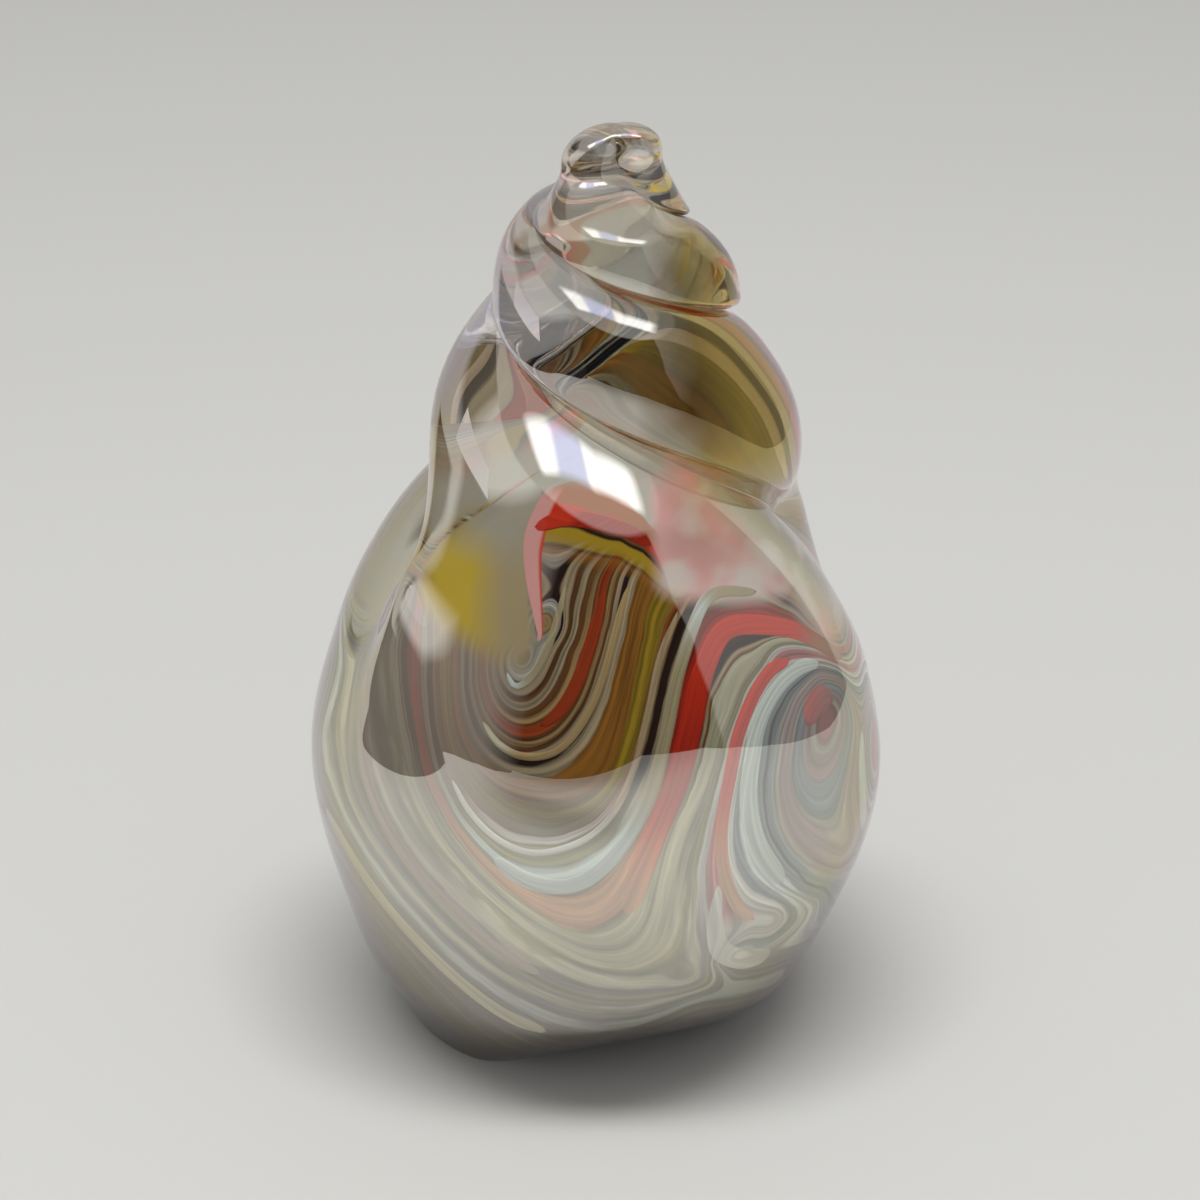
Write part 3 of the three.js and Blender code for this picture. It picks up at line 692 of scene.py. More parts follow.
# %% Trails
trails = {name: trail(name.replace("ribbon", "trail"), width, end_width, route)
          for name, (_, width, end_width, route) in TRAILS.items()}

# %% [markdown]
# ## Colours of the glass
# A colour in Blender is a share of light sent back, so the paints are written down first, by
# their names in the shop, and every material below picks from this one list.

# %% Paints
PAINTS = {
    "white": (0.86, 0.85, 0.78), "cream": (0.58, 0.46, 0.28), "grey": (0.50, 0.47, 0.38),
    "olive": (0.40, 0.38, 0.19), "field": (0.15, 0.145, 0.115), "smoke": (0.17, 0.15, 0.13),
    "blue": (0.72, 0.82, 0.77), "slate": (0.30, 0.37, 0.39), "night": (0.03, 0.03, 0.04),
    "red": (0.80, 0.045, 0.010), "rose": (0.72, 0.24, 0.24), "salmon": (0.86, 0.47, 0.26),
    "orange": (0.55, 0.085, 0.012), "amber": (0.46, 0.19, 0.022), "umber": (0.22, 0.09, 0.022),
    "coffee": (0.035, 0.011, 0.005), "straw": (0.66, 0.63, 0.42), "pink": (0.92, 0.45, 0.42),
    "ivory": (0.78, 0.75, 0.55), "gold": (0.72, 0.52, 0.045), "milk": (0.88, 0.96, 0.95),
    "blush": (0.42, 0.31, 0.30), "sienna": (0.50, 0.14, 0.010), "beige": (0.50, 0.40, 0.22),
    "moss": (0.16, 0.13, 0.05), "wheat": (0.54, 0.34, 0.14), "honey": (0.52, 0.34, 0.022),
    "chalk": (0.80, 0.77, 0.68), "wine": (0.42, 0.12, 0.11), "dust": (0.56, 0.45, 0.38),
    "linen": (0.44, 0.41, 0.33), "ash": (0.38, 0.37, 0.36), "mauve": (0.33, 0.28, 0.32),
    "fawn": (0.50, 0.43, 0.38),
}
print(len(PAINTS), "paints")

# %% [markdown]
# ## Helpers for material nodes
# A material is a graph: boxes that make a number or a colour, and wires between them. Each box
# could be added by hand in the shader editor. Here one helper adds a box and fills in its
# sockets, and the others are the sums, fits and mixes that every glass below needs.


# %% Helpers: numbers
def node(tree, kind, inputs=None, **settings):
    made = tree.nodes.new("ShaderNode" + kind)
    for name, value in settings.items():
        setattr(made, name, value)
    for name, value in (inputs or {}).items():
        if isinstance(value, bpy.types.NodeSocket):
            tree.links.new(value, made.inputs[name])
        else:
            made.inputs[name].default_value = value
    return made


def maths(tree, operation, a, b=0.0):
    return node(tree, "Math", {0: a, 1: b}, operation=operation).outputs[0]


def times(tree, first, *others):
    for other in others:
        first = maths(tree, "MULTIPLY", first, other)
    return first


def fitted(tree, value, low, high, to_low=0.0, to_high=1.0):
    return node(tree, "MapRange", {"Value": value, "From Min": low, "From Max": high,
                                   "To Min": to_low, "To Max": to_high}).outputs[0]


def mark(tree, name):
    """A number that the mesh carries at each of its vertices."""
    return node(tree, "Attribute", attribute_name=name).outputs["Fac"]


print("helpers for numbers are ready")


# %% Helpers: colours
def mixed(tree, factor, a, b, blend="MIX"):
    made = node(tree, "Mix", {0: factor}, data_type="RGBA", blend_type=blend)
    for socket, value in ((made.inputs[6], a), (made.inputs[7], b)):
        if isinstance(value, bpy.types.NodeSocket):
            tree.links.new(value, socket)
        else:
            socket.default_value = (*value, 1)
    return made.outputs[2]


def shaded(tree, colour, value):
    """The colour made darker or lighter by a number."""
    grey = node(tree, "CombineXYZ", {"X": value, "Y": value, "Z": value}).outputs[0]
    return mixed(tree, 1.0, colour, grey, "MULTIPLY")


print("helpers for colours are ready")

# %% [markdown]
# ## Bands of colour
# A colour ramp turns a number into a colour, which is how a level of the flow becomes a band of
# glass. One ramp holds 32 stops at most, and a band with crisp edges needs two, so a long row
# of bands is spread over several ramps, fifteen bands to a ramp.


# %% Helpers: ramps and bands
def ramp(tree, value, stops):
    """Colours by level. Stops are (level, paint), from the lowest level to the highest."""
    low, high = stops[0][0], stops[-1][0]
    made = node(tree, "ValToRGB", {"Fac": fitted(tree, value, low, high)})
    elements = made.color_ramp.elements
    while len(elements) < len(stops):
        elements.new(0.5)
    for i, (level, paint) in enumerate(stops):
        elements[i].position = (level - low) / (high - low)
    for i, (level, paint) in enumerate(stops):
        elements[i].color = (*(PAINTS[paint] if isinstance(paint, str) else paint), 1)
    return made.outputs["Color"]


BANDS_PER_RAMP = 15


def banded(tree, level, low, bands, soft=0.1):
    """Bands that meet at crisp edges, from (paint, upper level) pairs."""
    colour = None
    for first in range(0, len(bands), BANDS_PER_RAMP):
        stops, edge = [], low
        for paint, high in bands[first:first + BANDS_PER_RAMP]:
            stops += [(edge + soft, paint), (high - soft, paint)]
            edge = high
        part = ramp(tree, level, stops)
        joint = fitted(tree, level, low - soft, low + soft)
        colour = mixed(tree, joint, colour, part) if colour else part
        low = edge
    return colour


print("a ramp takes", BANDS_PER_RAMP, "bands")

# %% [markdown]
# ## Fine streaks
# Drawn-out glass has streaks inside every band. They run with the flow, so the noise is read
# at the flow level, stretched, and only slowly at the place on the piece. This group is used
# by the core and by each trail.

# %% Node group: fine streaks
STREAK_SCALE, SWAY_SCALE = 45.0, 130.0
streaks = bpy.data.node_groups.new("fine_streaks", "ShaderNodeTree")
for name in ("Level", "Fineness"):
    streaks.interface.new_socket(name, in_out="INPUT", socket_type="NodeSocketFloat")
for name in ("Streak", "Waver"):
    streaks.interface.new_socket(name, in_out="OUTPUT", socket_type="NodeSocketFloat")
given, made = streaks.nodes.new("NodeGroupInput"), streaks.nodes.new("NodeGroupOutput")
spot = node(streaks, "TexCoord").outputs["Object"]
slow = node(streaks, "VectorMath", {0: spot, "Scale": STREAK_SCALE}, operation="SCALE").outputs[0]
across = times(streaks, given.outputs["Level"], given.outputs["Fineness"])
lift = node(streaks, "CombineXYZ", {"X": across, "Y": across}).outputs[0]
stretched = node(streaks, "VectorMath", {0: slow, 1: lift}, operation="ADD").outputs[0]
grain = node(streaks, "TexNoise", {"Vector": stretched, "Scale": 1.0, "Detail": 3.0,
                                   "Roughness": 0.6}).outputs["Fac"]
streaks.links.new(grain, made.inputs["Streak"])
sway = node(streaks, "TexNoise", {"Vector": spot, "Scale": SWAY_SCALE,
                                  "Detail": 2.0}).outputs["Fac"]
streaks.links.new(maths(streaks, "SUBTRACT", sway, 0.5), made.inputs["Waver"])
print("group", streaks.name, "has", len(streaks.nodes), "nodes")

# %% Helper: a glass with fine streaks
FINENESS = 1.6


def glass(name):
    material = bpy.data.materials.new(name)
    material.use_nodes = True
    tree = material.node_tree
    level = mark(tree, "flow")
    fine = node(tree, "Group", {"Level": level, "Fineness": FINENESS}, node_tree=streaks)
    return material, tree, tree.nodes["Principled BSDF"], level, fine


print("streaks are", FINENESS, "times as fine as the levels")

# %% [markdown]
# ## Marbled glass: the rows of bands
# The core's colour is read from the flow level. Each row below names its bands from the lowest
# level up, and the level at which each one ends: the cascade down the middle as it looks under
# amber glass, the same lines further down where they are pale, the hook at the left, the raked
# eye at the right, and the long lines that run down to the foot.

# %% Rows of bands: paint, upper level
MIDDLE_START, HOOK_START = 4.0, 21.4
CASCADE = [
    ("umber", 4.2), ("cream", 4.45), ("coffee", 5.4), ("umber", 5.65), ("red", 7.6),
    ("umber", 7.95), ("cream", 8.9), ("coffee", 10.0), ("wheat", 10.5), ("sienna", 11.6),
    ("wheat", 11.8), ("honey", 14.1), ("amber", 16.0), ("cream", 16.95), ("coffee", 17.75),
    ("cream", 18.4), ("umber", 18.95), ("wheat", 19.6), ("umber", 20.1), ("orange", HOOK_START)]
LOW_CASCADE = [
    ("straw", 5.3), ("olive", 5.55), ("salmon", 7.4), ("olive", 7.6), ("cream", 7.75),
    ("olive", 8.0), ("blue", 8.85), ("olive", 10.55), ("white", 11.3), ("field", 16.3),
    ("cream", 17.1), ("field", 17.9), ("cream", 18.5), ("field", 19.1), ("cream", 19.6),
    ("field", HOOK_START)]
HOOK = [
    ("umber", 21.75), ("wheat", 22.5), ("umber", 23.5), ("cream", 24.6), ("umber", 25.6),
    ("cream", 26.8), ("coffee", 27.5), ("chalk", 28.4), ("grey", 29.6), ("wheat", 31.4),
    ("amber", 32.2), ("red", 34.2), ("coffee", 35.0)]
EYE = [
    ("wine", -13.6), ("grey", -13.2), ("blush", -11.8), ("slate", -10.4), ("grey", -10.0),
    ("blush", -8.3), ("grey", -7.7), ("slate", -6.9), ("night", -6.6), ("slate", -5.6),
    ("milk", -4.2), ("slate", -3.4), ("white", -2.1), ("rose", 0.9), ("white", 2.0),
    ("olive", 2.9), ("straw", MIDDLE_START)]
FOOT = [
    ("mauve", -9.5), ("smoke", -8.6), ("mauve", -6.6), ("blush", -6.1), ("ash", -5.4),
    ("mauve", -4.8), ("grey", -4.4), ("mauve", -3.6), ("ash", -3.2), ("mauve", -2.7),
    ("ash", -1.9), ("milk", -1.2), ("ash", -0.5), ("ivory", 0.1), ("ash", 0.5),
    ("olive", 1.1), ("ash", 1.9), ("ivory", 2.5), ("olive", 2.9), ("straw", MIDDLE_START)]
EYE_START, FOOT_START = -15.0, -13.0
print("bands:", len(CASCADE + LOW_CASCADE + HOOK + EYE + FOOT))

# %% [markdown]
# ## Marbled glass: each row in its place
# A row of bands is one ramp or two, and a mask says where it lies. A mask is a fit from one
# height or level to another: a wide fit blends, a narrow one cuts. The level wavers a little
# first, as no hot line is quite even. Heights in materials are in metres.

# %% Marbled glass: level and height
WAVER, JOINT = 1.1, 0.01
marbled, tree, shader, level, fine = glass("marbled_glass")
level = maths(tree, "ADD", level, times(tree, fine.outputs["Waver"], WAVER))
height = node(tree, "SeparateXYZ", {0: node(tree, "TexCoord").outputs["Object"]}).outputs["Z"]
cascade = banded(tree, level, MIDDLE_START, CASCADE, soft=0.08)
low_cascade = banded(tree, level, MIDDLE_START, LOW_CASCADE)
hook = banded(tree, level, HOOK_START, HOOK)
eye_glass = banded(tree, level, EYE_START, EYE)
foot_glass = banded(tree, level, FOOT_START, FOOT)
print("marbled glass:", len(tree.nodes), "nodes")

# %% Marbled glass: masks between the rows
colour = mixed(tree, fitted(tree, height, 0.050, 0.040), cascade, low_cascade)
colour = mixed(tree, fitted(tree, level, HOOK_START - JOINT, HOOK_START + JOINT), colour, hook)
white_pool = times(tree, fitted(tree, height, 0.030, 0.027), fitted(tree, level, -2.4, -2.1),
                   fitted(tree, level, 1.2, 0.9))
eye_glass = mixed(tree, white_pool, eye_glass, PAINTS["white"])
outer = mixed(tree, mark(tree, "eye"), foot_glass, eye_glass)
colour = mixed(tree, fitted(tree, level, MIDDLE_START - JOINT, MIDDLE_START + JOINT), outer, colour)
print("marbled glass:", len(tree.nodes), "nodes")

# %% [markdown]
# ## Marbled glass: streaks and depth
# Streaks go over all the bands. Then the upper half is darkened, because it lies deep under
# amber glass, and two soft veils of ash and fawn calm the left side, where smoke-coloured
# glass was laid over the lines.

# %% Marbled glass: streaks, upper half and left side
colour = shaded(tree, colour, fitted(tree, fine.outputs["Streak"], 0.34, 0.66, 0.45, 1.45))
colour = shaded(tree, colour, fitted(tree, height, 0.040, 0.050, 1.0, 0.64))
sweep = mark(tree, "sweep")
left_low = times(tree, fitted(tree, sweep, 252, 236), fitted(tree, height, 0.047, 0.040),
                 fitted(tree, sweep, 150, 170))
colour = mixed(tree, times(tree, left_low, 0.4), colour, PAINTS["ash"])
calm = times(tree, fitted(tree, sweep, 252, 243), fitted(tree, height, 0.040, 0.047),
             fitted(tree, sweep, 200, 206))
colour = mixed(tree, times(tree, calm, 0.66), colour, PAINTS["fawn"])
print("marbled glass:", len(tree.nodes), "nodes")

# %% [markdown]
# ## Marbled glass: the crown
# Where the lines turn over at the top of the core they pile up in thin arches of red, honey and
# amber. They follow the crown line, so they are bands of the height above that line. Above and
# beside them lies plain smoky glass, gold at the left and pink with white clouds at the right.

# %% Marbled glass: arches and haze
ARCHES = [("amber", -2.75), ("umber", -2.5), ("honey", -1.5), ("coffee", -1.25),
          ("umber", -1.0), ("red", -0.2), ("sienna", 0.9), ("grey", 2.0)]
HAZE = [(60, "moss"), (150, "moss"), (180, "grey"), (196, "grey"), (206, "honey"),
        (222, "gold"), (234, "gold"), (247, "beige"), (262, "beige"), (275, "grey"),
        (290, "pink"), (333, "pink"), (346, "grey"), (358, "moss")]
crown = maths(tree, "ADD", mark(tree, "crown"), times(tree, fine.outputs["Waver"], 1.2))
arches = banded(tree, crown, -3.5, ARCHES, soft=0.06)
colour = mixed(tree, fitted(tree, crown, -3.6, -1.9), colour, arches)
drift = mark(tree, "drift")
haze_colour = ramp(tree, drift, HAZE)
clouds = times(tree, fitted(tree, fine.outputs["Waver"], -0.02, 0.14, 0.0, 0.75),
               fitted(tree, drift, 270, 290))
haze_colour = mixed(tree, clouds, haze_colour, PAINTS["white"])
pale_top = times(tree, fitted(tree, height, 0.0675, 0.071), fitted(tree, drift, 262, 245))
haze_colour = mixed(tree, pale_top, haze_colour, PAINTS["grey"])
haze_colour = mixed(tree, fitted(tree, height, 0.0735, 0.075), haze_colour, PAINTS["linen"])
colour = mixed(tree, times(tree, mark(tree, "haze"), 0.97), colour, haze_colour)
print("marbled glass:", len(tree.nodes), "nodes")

# %% [markdown]
# ## Marbled glass: the stem, the painted shade and the finish
# A pink stem with a red edge climbs out of the hook to the crown. The foot is darker, because
# little light gets under the piece. The core has no gloss of its own: it is fused to the clear
# glass, and only the outside of the piece mirrors.

# %% Marbled glass: stem, painted shade at the foot, finish
stem = mark(tree, "stem")
stem_colour = mixed(tree, fitted(tree, stem, 0.5, 0.8), PAINTS["pink"], PAINTS["red"])
on_stem = times(tree, fitted(tree, maths(tree, "ABSOLUTE", stem), 1.0, 0.8),
                fitted(tree, height, 0.0745, 0.0735), fitted(tree, height, 0.0625, 0.0629))
colour = mixed(tree, on_stem, colour, stem_colour)
# Painted shade: the core is darkened towards the foot, where little light gets under the piece.
colour = shaded(tree, colour, fitted(tree, height, 0.002, 0.030, 0.16, 1.0))
tree.links.new(colour, shader.inputs["Base Color"])
shader.inputs["Roughness"].default_value = 0.5
shader.inputs["Specular IOR Level"].default_value = 0
core.data.materials.append(marbled)
print("marbled glass:", len(tree.nodes), "nodes")

# %% [markdown]
# ## Glass of the trails
# Each colour of trail is a material of its own, with the same streaks. Red glass thins to salmon
# low down and to wine at the side. Where a trail passes under amber glass or smoky glass, it
# takes that tint, which the mesh carries as a number at each vertex.

# %% Trail glasses
AMBER_TINT = (0.62, 0.43, 0.23)
trail_glasses = {}
for paint in sorted({colour for colour, *_ in TRAILS.values()}):
    material, tree, shader, level, fine = glass(paint + "_glass")
    place_on = node(tree, "SeparateXYZ", {0: node(tree, "TexCoord").outputs["Object"]}).outputs
    base = PAINTS["dust" if paint == "pink" else paint]
    if paint == "red":
        base = mixed(tree, fitted(tree, place_on["Z"], 0.046, 0.034), base, PAINTS["salmon"])
        base = mixed(tree, fitted(tree, place_on["X"], 0.021, 0.026), base, PAINTS["wine"])
    colour = shaded(tree, base, fitted(tree, fine.outputs["Streak"], 0.3, 0.7, 0.7, 1.25))
    colour = mixed(tree, times(tree, mark(tree, "amber"), 0.9), colour,
                   mixed(tree, 1.0, colour, AMBER_TINT, "MULTIPLY"))
    colour = mixed(tree, times(tree, mark(tree, "haze"), 0.92), colour, PAINTS["beige"])
    tree.links.new(colour, shader.inputs["Base Color"])
    shader.inputs["Roughness"].default_value = 0.4
    shader.inputs["Specular IOR Level"].default_value = 0.1
    trail_glasses[paint] = material
for name, (paint, *_) in TRAILS.items():
    trails[name].data.materials.append(trail_glasses[paint])
print("trail glasses:", ", ".join(trail_glasses))

# %% [markdown]
# ## Clear glass with a lustre
# The outside is clear glass, fumed with a metal vapour while hot. The film is far thinner than
# light's wave is long: it mirrors more than bare glass does, and its tint changes as it is seen
# more from the side. A little Metallic on a fully transmitting glass gives that mirror, and the
# tints come from ramps over Layer Weight's Facing: plain below, olive at the right of the
# spire, pearl at its left.

# %% Films of the lustre, by how far the glass is turned away
SILVER = (0.84, 0.84, 0.86)
PLAIN_FILM = [(0, (0.92, 0.91, 0.88)), (0.45, (0.90, 0.88, 0.82)), (0.66, (0.84, 0.80, 0.58)),
              (0.84, (0.82, 0.74, 0.80)), (1, SILVER)]
OLIVE_FILM = [(0, (0.16, 0.11, 0.04)), (0.14, (0.22, 0.16, 0.05)), (0.34, (0.62, 0.49, 0.13)),
              (0.66, (0.66, 0.55, 0.20)), (0.84, (0.60, 0.38, 0.64)), (1, SILVER)]
PEARL_FILM = [(0, (0.92, 0.91, 0.90)), (0.4, (0.90, 0.84, 0.86)), (0.65, (0.80, 0.78, 0.95)),
              (0.85, (0.95, 0.84, 0.86)), (1, SILVER)]
FOOT_SHADE_TINT, WHORL_TINT, WHORL_EDGE_TINT = (0.62, 0.575, 0.56), (0.74, 0.73, 0.70), (0.58, 0.55, 0.42)
clear_glass = bpy.data.materials.new("lustred_clear_glass")
clear_glass.use_nodes = True
tree = clear_glass.node_tree
shader = tree.nodes["Principled BSDF"]
shader.inputs["Metallic"].default_value = 0.40
shader.inputs["Roughness"].default_value = 0.012
shader.inputs["IOR"].default_value = 1.5
shader.inputs["Transmission Weight"].default_value = 1
facing = node(tree, "LayerWeight", {"Blend": 0.5}).outputs["Facing"]
plain_film, olive_film, pearl_film = [ramp(tree, facing, film)
                                      for film in (PLAIN_FILM, OLIVE_FILM, PEARL_FILM)]
print("index of refraction", shader.inputs["IOR"].default_value)

# %% Where each film lies
spot = node(tree, "TexCoord").outputs["Object"]
spots = node(tree, "SeparateXYZ", {0: spot}).outputs
clouds = node(tree, "TexNoise", {"Vector": spot, "Scale": 55.0, "Detail": 2.0}).outputs["Fac"]
cloudy = times(tree, fitted(tree, clouds, 0.3, 0.7, -0.5, 0.5), 0.006)
side = maths(tree, "ADD", spots["X"], cloudy)
right = fitted(tree, side, 0.006, 0.012)
left = times(tree, fitted(tree, side, 0.001, -0.006), fitted(tree, spots["Z"], 0.084, 0.088))
spire = fitted(tree, spots["Z"], 0.070, 0.082)
film = mixed(tree, times(tree, right, spire), plain_film, olive_film)
film = mixed(tree, times(tree, left, spire), film, pearl_film)
# Painted shade: the lustre is darkened towards the foot, where it mirrors the shadowed floor.
foot_shade_film = mixed(tree, fitted(tree, spots["Z"], 0.006, 0.030), FOOT_SHADE_TINT, (1, 1, 1))
film = mixed(tree, 1.0, film, foot_shade_film, "MULTIPLY")
whorl = times(tree, fitted(tree, spots["Z"], 0.099, 0.102), fitted(tree, spots["Z"], 0.114, 0.111))
whorl_film = mixed(tree, 1.0, film, mixed(tree, right, WHORL_TINT, WHORL_EDGE_TINT), "MULTIPLY")
film = mixed(tree, whorl, film, whorl_film)
tree.links.new(film, shader.inputs["Base Color"])
print("clear glass:", len(tree.nodes), "nodes")

# %% [markdown]
# ## Light through the glass
# A ray tracer has trouble finding a lamp through clear glass, and the core and the shadow would
# come out too dark. So rays that only ask how much light arrives pass straight through a thin
# grey instead. The rays that draw the glass itself still bend and mirror.

# %% Let light through
through = node(tree, "BsdfTransparent", {"Color": (0.82, 0.82, 0.80, 1)})
rays = node(tree, "LightPath").outputs
lit = maths(tree, "MAXIMUM", rays["Is Shadow Ray"], rays["Is Diffuse Ray"])
both = node(tree, "MixShader", {0: lit, 1: shader.outputs[0], 2: through.outputs[0]})
tree.links.new(both.outputs[0], tree.nodes["Material Output"].inputs["Surface"])
casing.data.materials.append(clear_glass)
print("clear glass:", len(tree.nodes), "nodes")

# %% [markdown]
# ## Pieces stand for the CAD nodes
# Each piece made here takes the place of one solid of the CAD, and moves with the part's one
# body. The solid is hidden but stays in the part, where the physics uses it.

# %% Pieces stand for the CAD nodes
STANDS_FOR = {"clear_casing": (casing, "clear_glass"), "colour_core": (core, "marbled_glass")}
for name, piece in trails.items():
    STANDS_FOR[name] = (piece, TRAILS[name][0] + "_glass")
for name, (piece, finish) in STANDS_FOR.items():
    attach(piece, "root")
    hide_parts(name)
print(len(STANDS_FOR), "pieces stand for CAD nodes")

# %% [markdown]
# ## Floor
# The piece rests on a pale sheet, whose outline the glass mirrors as the lower edge of its dark
# middle. A wide floor lies just under it, hidden from the glass. Far off, where no shadow
# falls, the floor takes on the tone of the backdrop for the camera, so that no horizon shows.

# %% Pale floor
bpy.context.scene.view_settings.view_transform = "Standard"
BACKDROP_TONE = (0.57, 0.57, 0.565)
FADE_START, FADE_END = 0.6, 1.6
floor_paint = bpy.data.materials.new("pale_floor")
floor_paint.use_nodes = True
tree = floor_paint.node_tree
floor_shader = tree.nodes["Principled BSDF"]
floor_shader.inputs["Base Color"].default_value = (0.66, 0.655, 0.63, 1)
floor_shader.inputs["Roughness"].default_value = 0.7
away = node(tree, "VectorMath", {0: node(tree, "TexCoord").outputs["Object"]},
            operation="LENGTH").outputs["Value"]
fade = times(tree, fitted(tree, away, FADE_START, FADE_END),
             node(tree, "LightPath").outputs["Is Camera Ray"])
backdrop = node(tree, "Emission", {"Color": (*BACKDROP_TONE, 1)})
both = node(tree, "MixShader", {0: fade, 1: floor_shader.outputs[0], 2: backdrop.outputs[0]})
tree.links.new(both.outputs[0], tree.nodes["Material Output"].inputs["Surface"])
print("floor fades from", FADE_START, "to", FADE_END, "m")

# %% Sheet and floor
FLOOR_SINK = 0.05 * MM
SHEET_CORNERS = [(-0.23, 0.7), (-0.205, 0.107), (-0.205, 0.05), (-0.23, -0.004),
                 (-0.258, -0.062), (-0.30, -0.14), (-0.355, -0.218), (-0.395, -0.295),
                 (-0.427, -0.39), (-0.462, -0.503), (-0.487, -0.637), (-0.497, -0.7),
                 (-0.56, -0.82), (-0.75, -1.3), (-1.8, -3.2), (0.8, -3.2), (0.516, -0.634),
                 (0.385, -0.286), (0.294, -0.121), (0.22, -0.022), (0.188, 0.028), (0.18, 0.7)]
FAR = 30
FAR_CORNERS = [(-FAR, -FAR), (FAR, -FAR), (FAR, FAR), (-FAR, FAR)]


def staged_sheet(name, corners, paint):
    mesh = bpy.data.meshes.new(name)
    mesh.from_pydata(corners, [], [range(len(corners))])
    sheet = bpy.data.objects.new(name, mesh)
    bpy.context.collection.objects.link(sheet)
    sheet.data.materials.append(paint)
    return sheet


floor = staged_sheet("floor", [(x, y, -FLOOR_SINK) for x, y in SHEET_CORNERS], floor_paint)
far_floor = staged_sheet("far_floor", [(x, y, -2 * FLOOR_SINK) for x, y in FAR_CORNERS],
                         floor_paint)
far_floor.visible_glossy = far_floor.visible_transmission = False
print("sheet of", len(SHEET_CORNERS), "corners")

# %% [markdown]
# ## A small white card
# A photographer puts a white card beside glass to draw a bright edge into it. This one stands
# at the left, and only mirrored rays see it, so it adds no light.

# %% White card at the left
CARD_SIDE, CARD_NEAR, CARD_BACK, CARD_LOW, CARD_TOP = -0.1, -0.045, 0.012, 0.097, 0.125
card_paint = bpy.data.materials.new("lit_card")
card_paint.use_nodes = True
card_shader = card_paint.node_tree.nodes["Principled BSDF"]
card_shader.inputs["Base Color"].default_value = (0, 0, 0, 1)
card_shader.inputs["Emission Color"].default_value = (0.84, 0.82, 0.86, 1)
card_shader.inputs["Emission Strength"].default_value = 1
card_corners = [(CARD_SIDE, y, z) for y, z in (
    (CARD_NEAR, CARD_LOW), (CARD_BACK, CARD_LOW), (CARD_BACK, CARD_TOP), (CARD_NEAR, CARD_TOP))]
card = staged_sheet("white_card", card_corners, card_paint)
card.visible_camera = card.visible_diffuse = card.visible_shadow = False
card.visible_transmission = False
print("card", round((CARD_BACK - CARD_NEAR) / MM), "x", round((CARD_TOP - CARD_LOW) / MM), "mm")

# %% [markdown]
# ## The room that the glass mirrors
# Polished glass shows little but what is round it. The world gives mirrored rays a plain room:
# a pale backdrop, a dark front, grey walls, a ceiling and one long soft panel overhead. Each is
# an area of directions, given by its turn (0 behind the piece, 90 at its left, 180 at the
# camera, 270 at its right) and its rise above the floor, in degrees.

# %% World: directions
world = bpy.data.worlds.new("studio")
bpy.context.scene.world = world
world.use_nodes = True
tree = world.node_tree
way = node(tree, "SeparateXYZ", {0: node(tree, "TexCoord").outputs["Generated"]}).outputs
bearing = maths(tree, "DEGREES", maths(tree, "ARCTAN2", way["Y"], way["X"]))
turn = node(tree, "Math", {0: maths(tree, "SUBTRACT", bearing, 90.0), 1: 360.0},
            operation="FLOORED_MODULO").outputs[0]
rise = maths(tree, "DEGREES", maths(tree, "ARCSINE", way["Z"]))


def minus(a, b):
    return maths(tree, "SUBTRACT", a, b)


def past(value, limit, soft=0.7):
    """1 where the value is past the limit and 0 before it. A negative softness turns it round."""
    return fitted(tree, minus(value, limit), -soft, soft)


def beyond(value, limit):
    """How far the value is past the limit, and 0 before it."""
    return maths(tree, "MAXIMUM", minus(value, limit), 0.0)


print("world", world.name, "reads", len(tree.nodes), "nodes so far")

# %% World: walls and ceiling
BACKDROP, LEFT_WALL = (0.56, 0.56, 0.55), (0.035, 0.03, 0.03)
DARK_WALL, RIGHT_WALL = (0.016, 0.014, 0.014), (0.25, 0.24, 0.24)
CEILING, LEFT_CEILING, LEFT_DIM = (0.42, 0.42, 0.41), (0.75, 0.75, 0.73), (0.10, 0.095, 0.095)
FRONT_START, RIGHT_END, CEILING_START = 150.0, 304.5, 43.5
wall_top = maths(tree, "ADD", 13.0, times(tree, beyond(turn, 108.0), 0.75))
left_wall = mixed(tree, past(rise, wall_top, 4.0), LEFT_WALL, LEFT_CEILING)
left_start = fitted(tree, rise, -6.0, 0.0, 44.0, 84.0)
walls = mixed(tree, past(turn, left_start, 3.0), BACKDROP, left_wall)
dim = times(tree, past(rise, 17.0, 3.0), past(turn, 50.0, 5.0),
            minus(1.0, past(minus(turn, times(tree, rise, 0.6)), 70.0, 5.0)))
walls = mixed(tree, dim, walls, LEFT_DIM)
walls = mixed(tree, past(turn, FRONT_START, 1.0), walls, DARK_WALL)
right_start = maths(tree, "ADD", fitted(tree, rise, -4.0, 3.0, 228.0, 220.0),
                    fitted(tree, rise, 22.0, 44.0, 0.0, 12.0))
walls = mixed(tree, past(turn, right_start), walls, RIGHT_WALL)
walls = mixed(tree, past(turn, minus(RIGHT_END, times(tree, rise, 0.17))), walls, BACKDROP)
seen = mixed(tree, past(rise, CEILING_START), walls, CEILING)
print("walls and ceiling:", len(tree.nodes), "nodes")

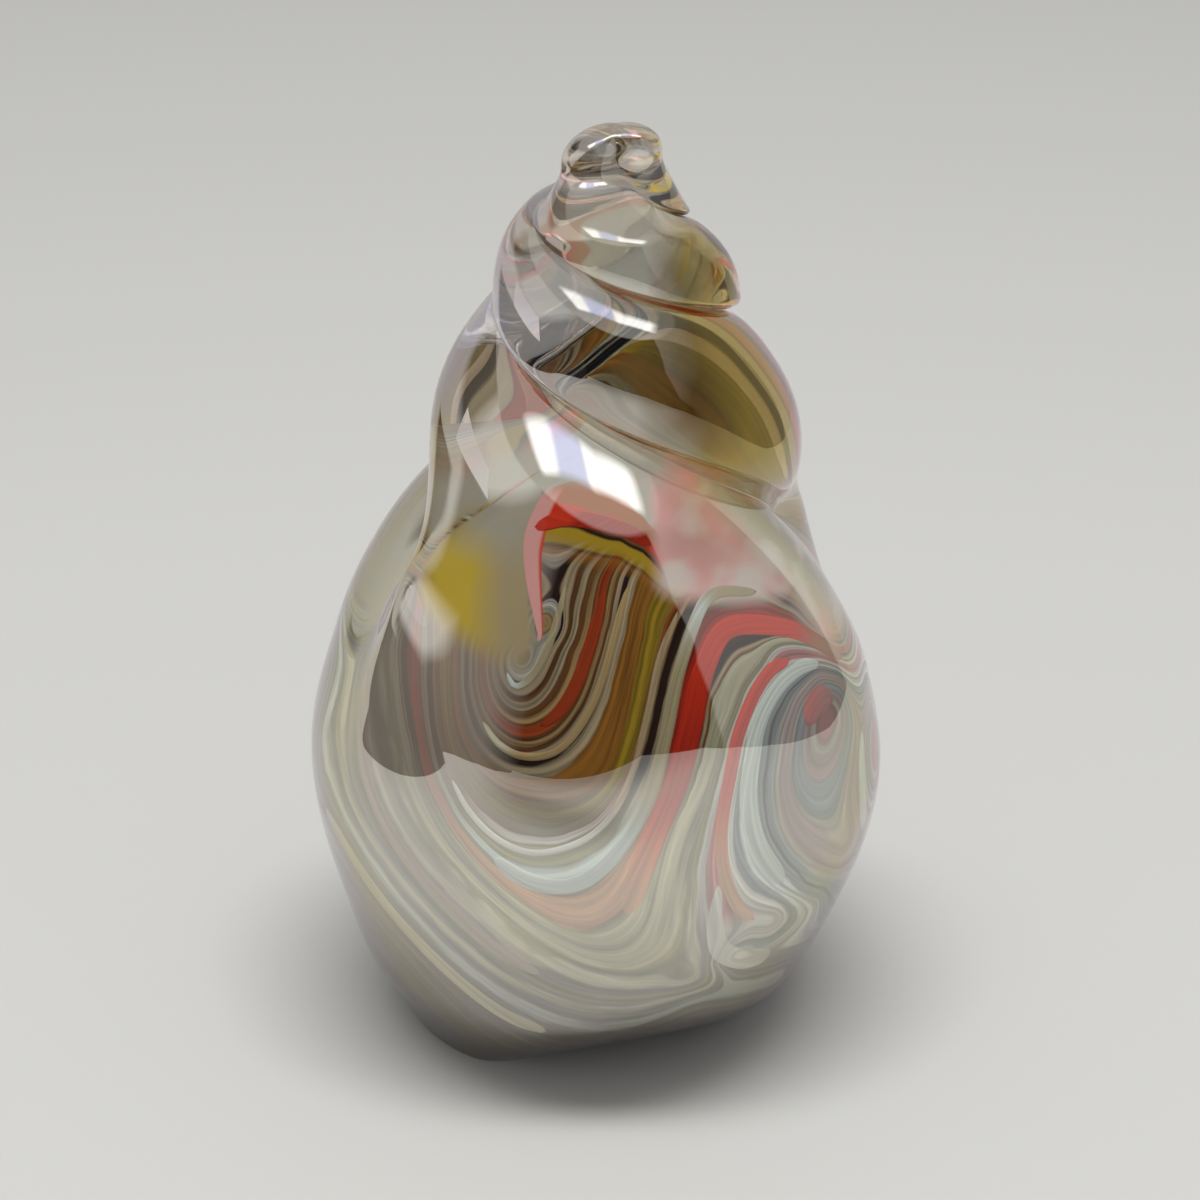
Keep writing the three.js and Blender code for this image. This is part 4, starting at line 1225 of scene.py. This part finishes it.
# %% [markdown]
# ## The soft panel
# The long bright patch on the shoulder is a soft panel overhead, seen in the glass. It is flat,
# so its edges are straight on a ceiling: the direction is divided by its height, which gives
# the place on a plane one metre up, and each edge is a line there.

# %% World: soft panel
PANEL, PANEL_MIDDLE = (2.6, 2.62, 2.65), (1.15, 1.25, 1.85)
over_x, over_y = [maths(tree, "DIVIDE", way[axis], way["Z"]) for axis in "XY"]
left_edge = minus(-0.74, times(tree, over_y, 0.45))
near_edge = maths(tree, "ADD", times(tree, over_x, 0.12), times(tree, beyond(over_x, 0.3), 0.25))
near_edge = minus(near_edge, 0.715)
far_edge = minus(times(tree, beyond(over_x, 0.4), 0.5), 0.43)
panel = times(tree, past(over_x, left_edge, 0.05), past(over_x, 0.80, -0.06),
              past(over_y, near_edge, 0.03), past(over_y, far_edge, -0.06), past(rise, 10.0))
middle = times(tree, past(over_x, -0.16, 0.05), past(over_x, 0.24, -0.03))
seen = mixed(tree, panel, seen, mixed(tree, middle, PANEL, PANEL_MIDDLE))
print("with the panel:", len(tree.nodes), "nodes")

# %% World: plain light for all other rays
SOFT_LIGHT, SEEN_THROUGH = (0.38, 0.38, 0.38), (0.74, 0.74, 0.73)
path = node(tree, "LightPath").outputs
plain_light = mixed(tree, path["Is Camera Ray"], SOFT_LIGHT, BACKDROP_TONE)
plain_light = mixed(tree, path["Is Transmission Ray"], plain_light, SEEN_THROUGH)
seen = mixed(tree, path["Is Glossy Ray"], plain_light, seen)
tree.links.new(seen, tree.nodes["Background"].inputs[0])
print("world:", len(tree.nodes), "nodes")

# %% [markdown]
# ## Lamp
# One wide lamp straight above gives the soft shadow round the foot. It is hidden from mirrored
# rays, because the panel of the world is what the glass shows there.

# %% Soft lamp overhead
bpy.ops.object.light_add(type="AREA", location=(0, -0.12, 1.0))
lamp = bpy.context.object
lamp.rotation_euler = (math.radians(-7), 0, 0)
lamp.data.shape = "RECTANGLE"
lamp.data.size, lamp.data.size_y = 0.75, 0.18
lamp.data.energy = 7.6
lamp.visible_glossy = lamp.visible_transmission = False
print("lamp of", round(lamp.data.energy, 1), "W")
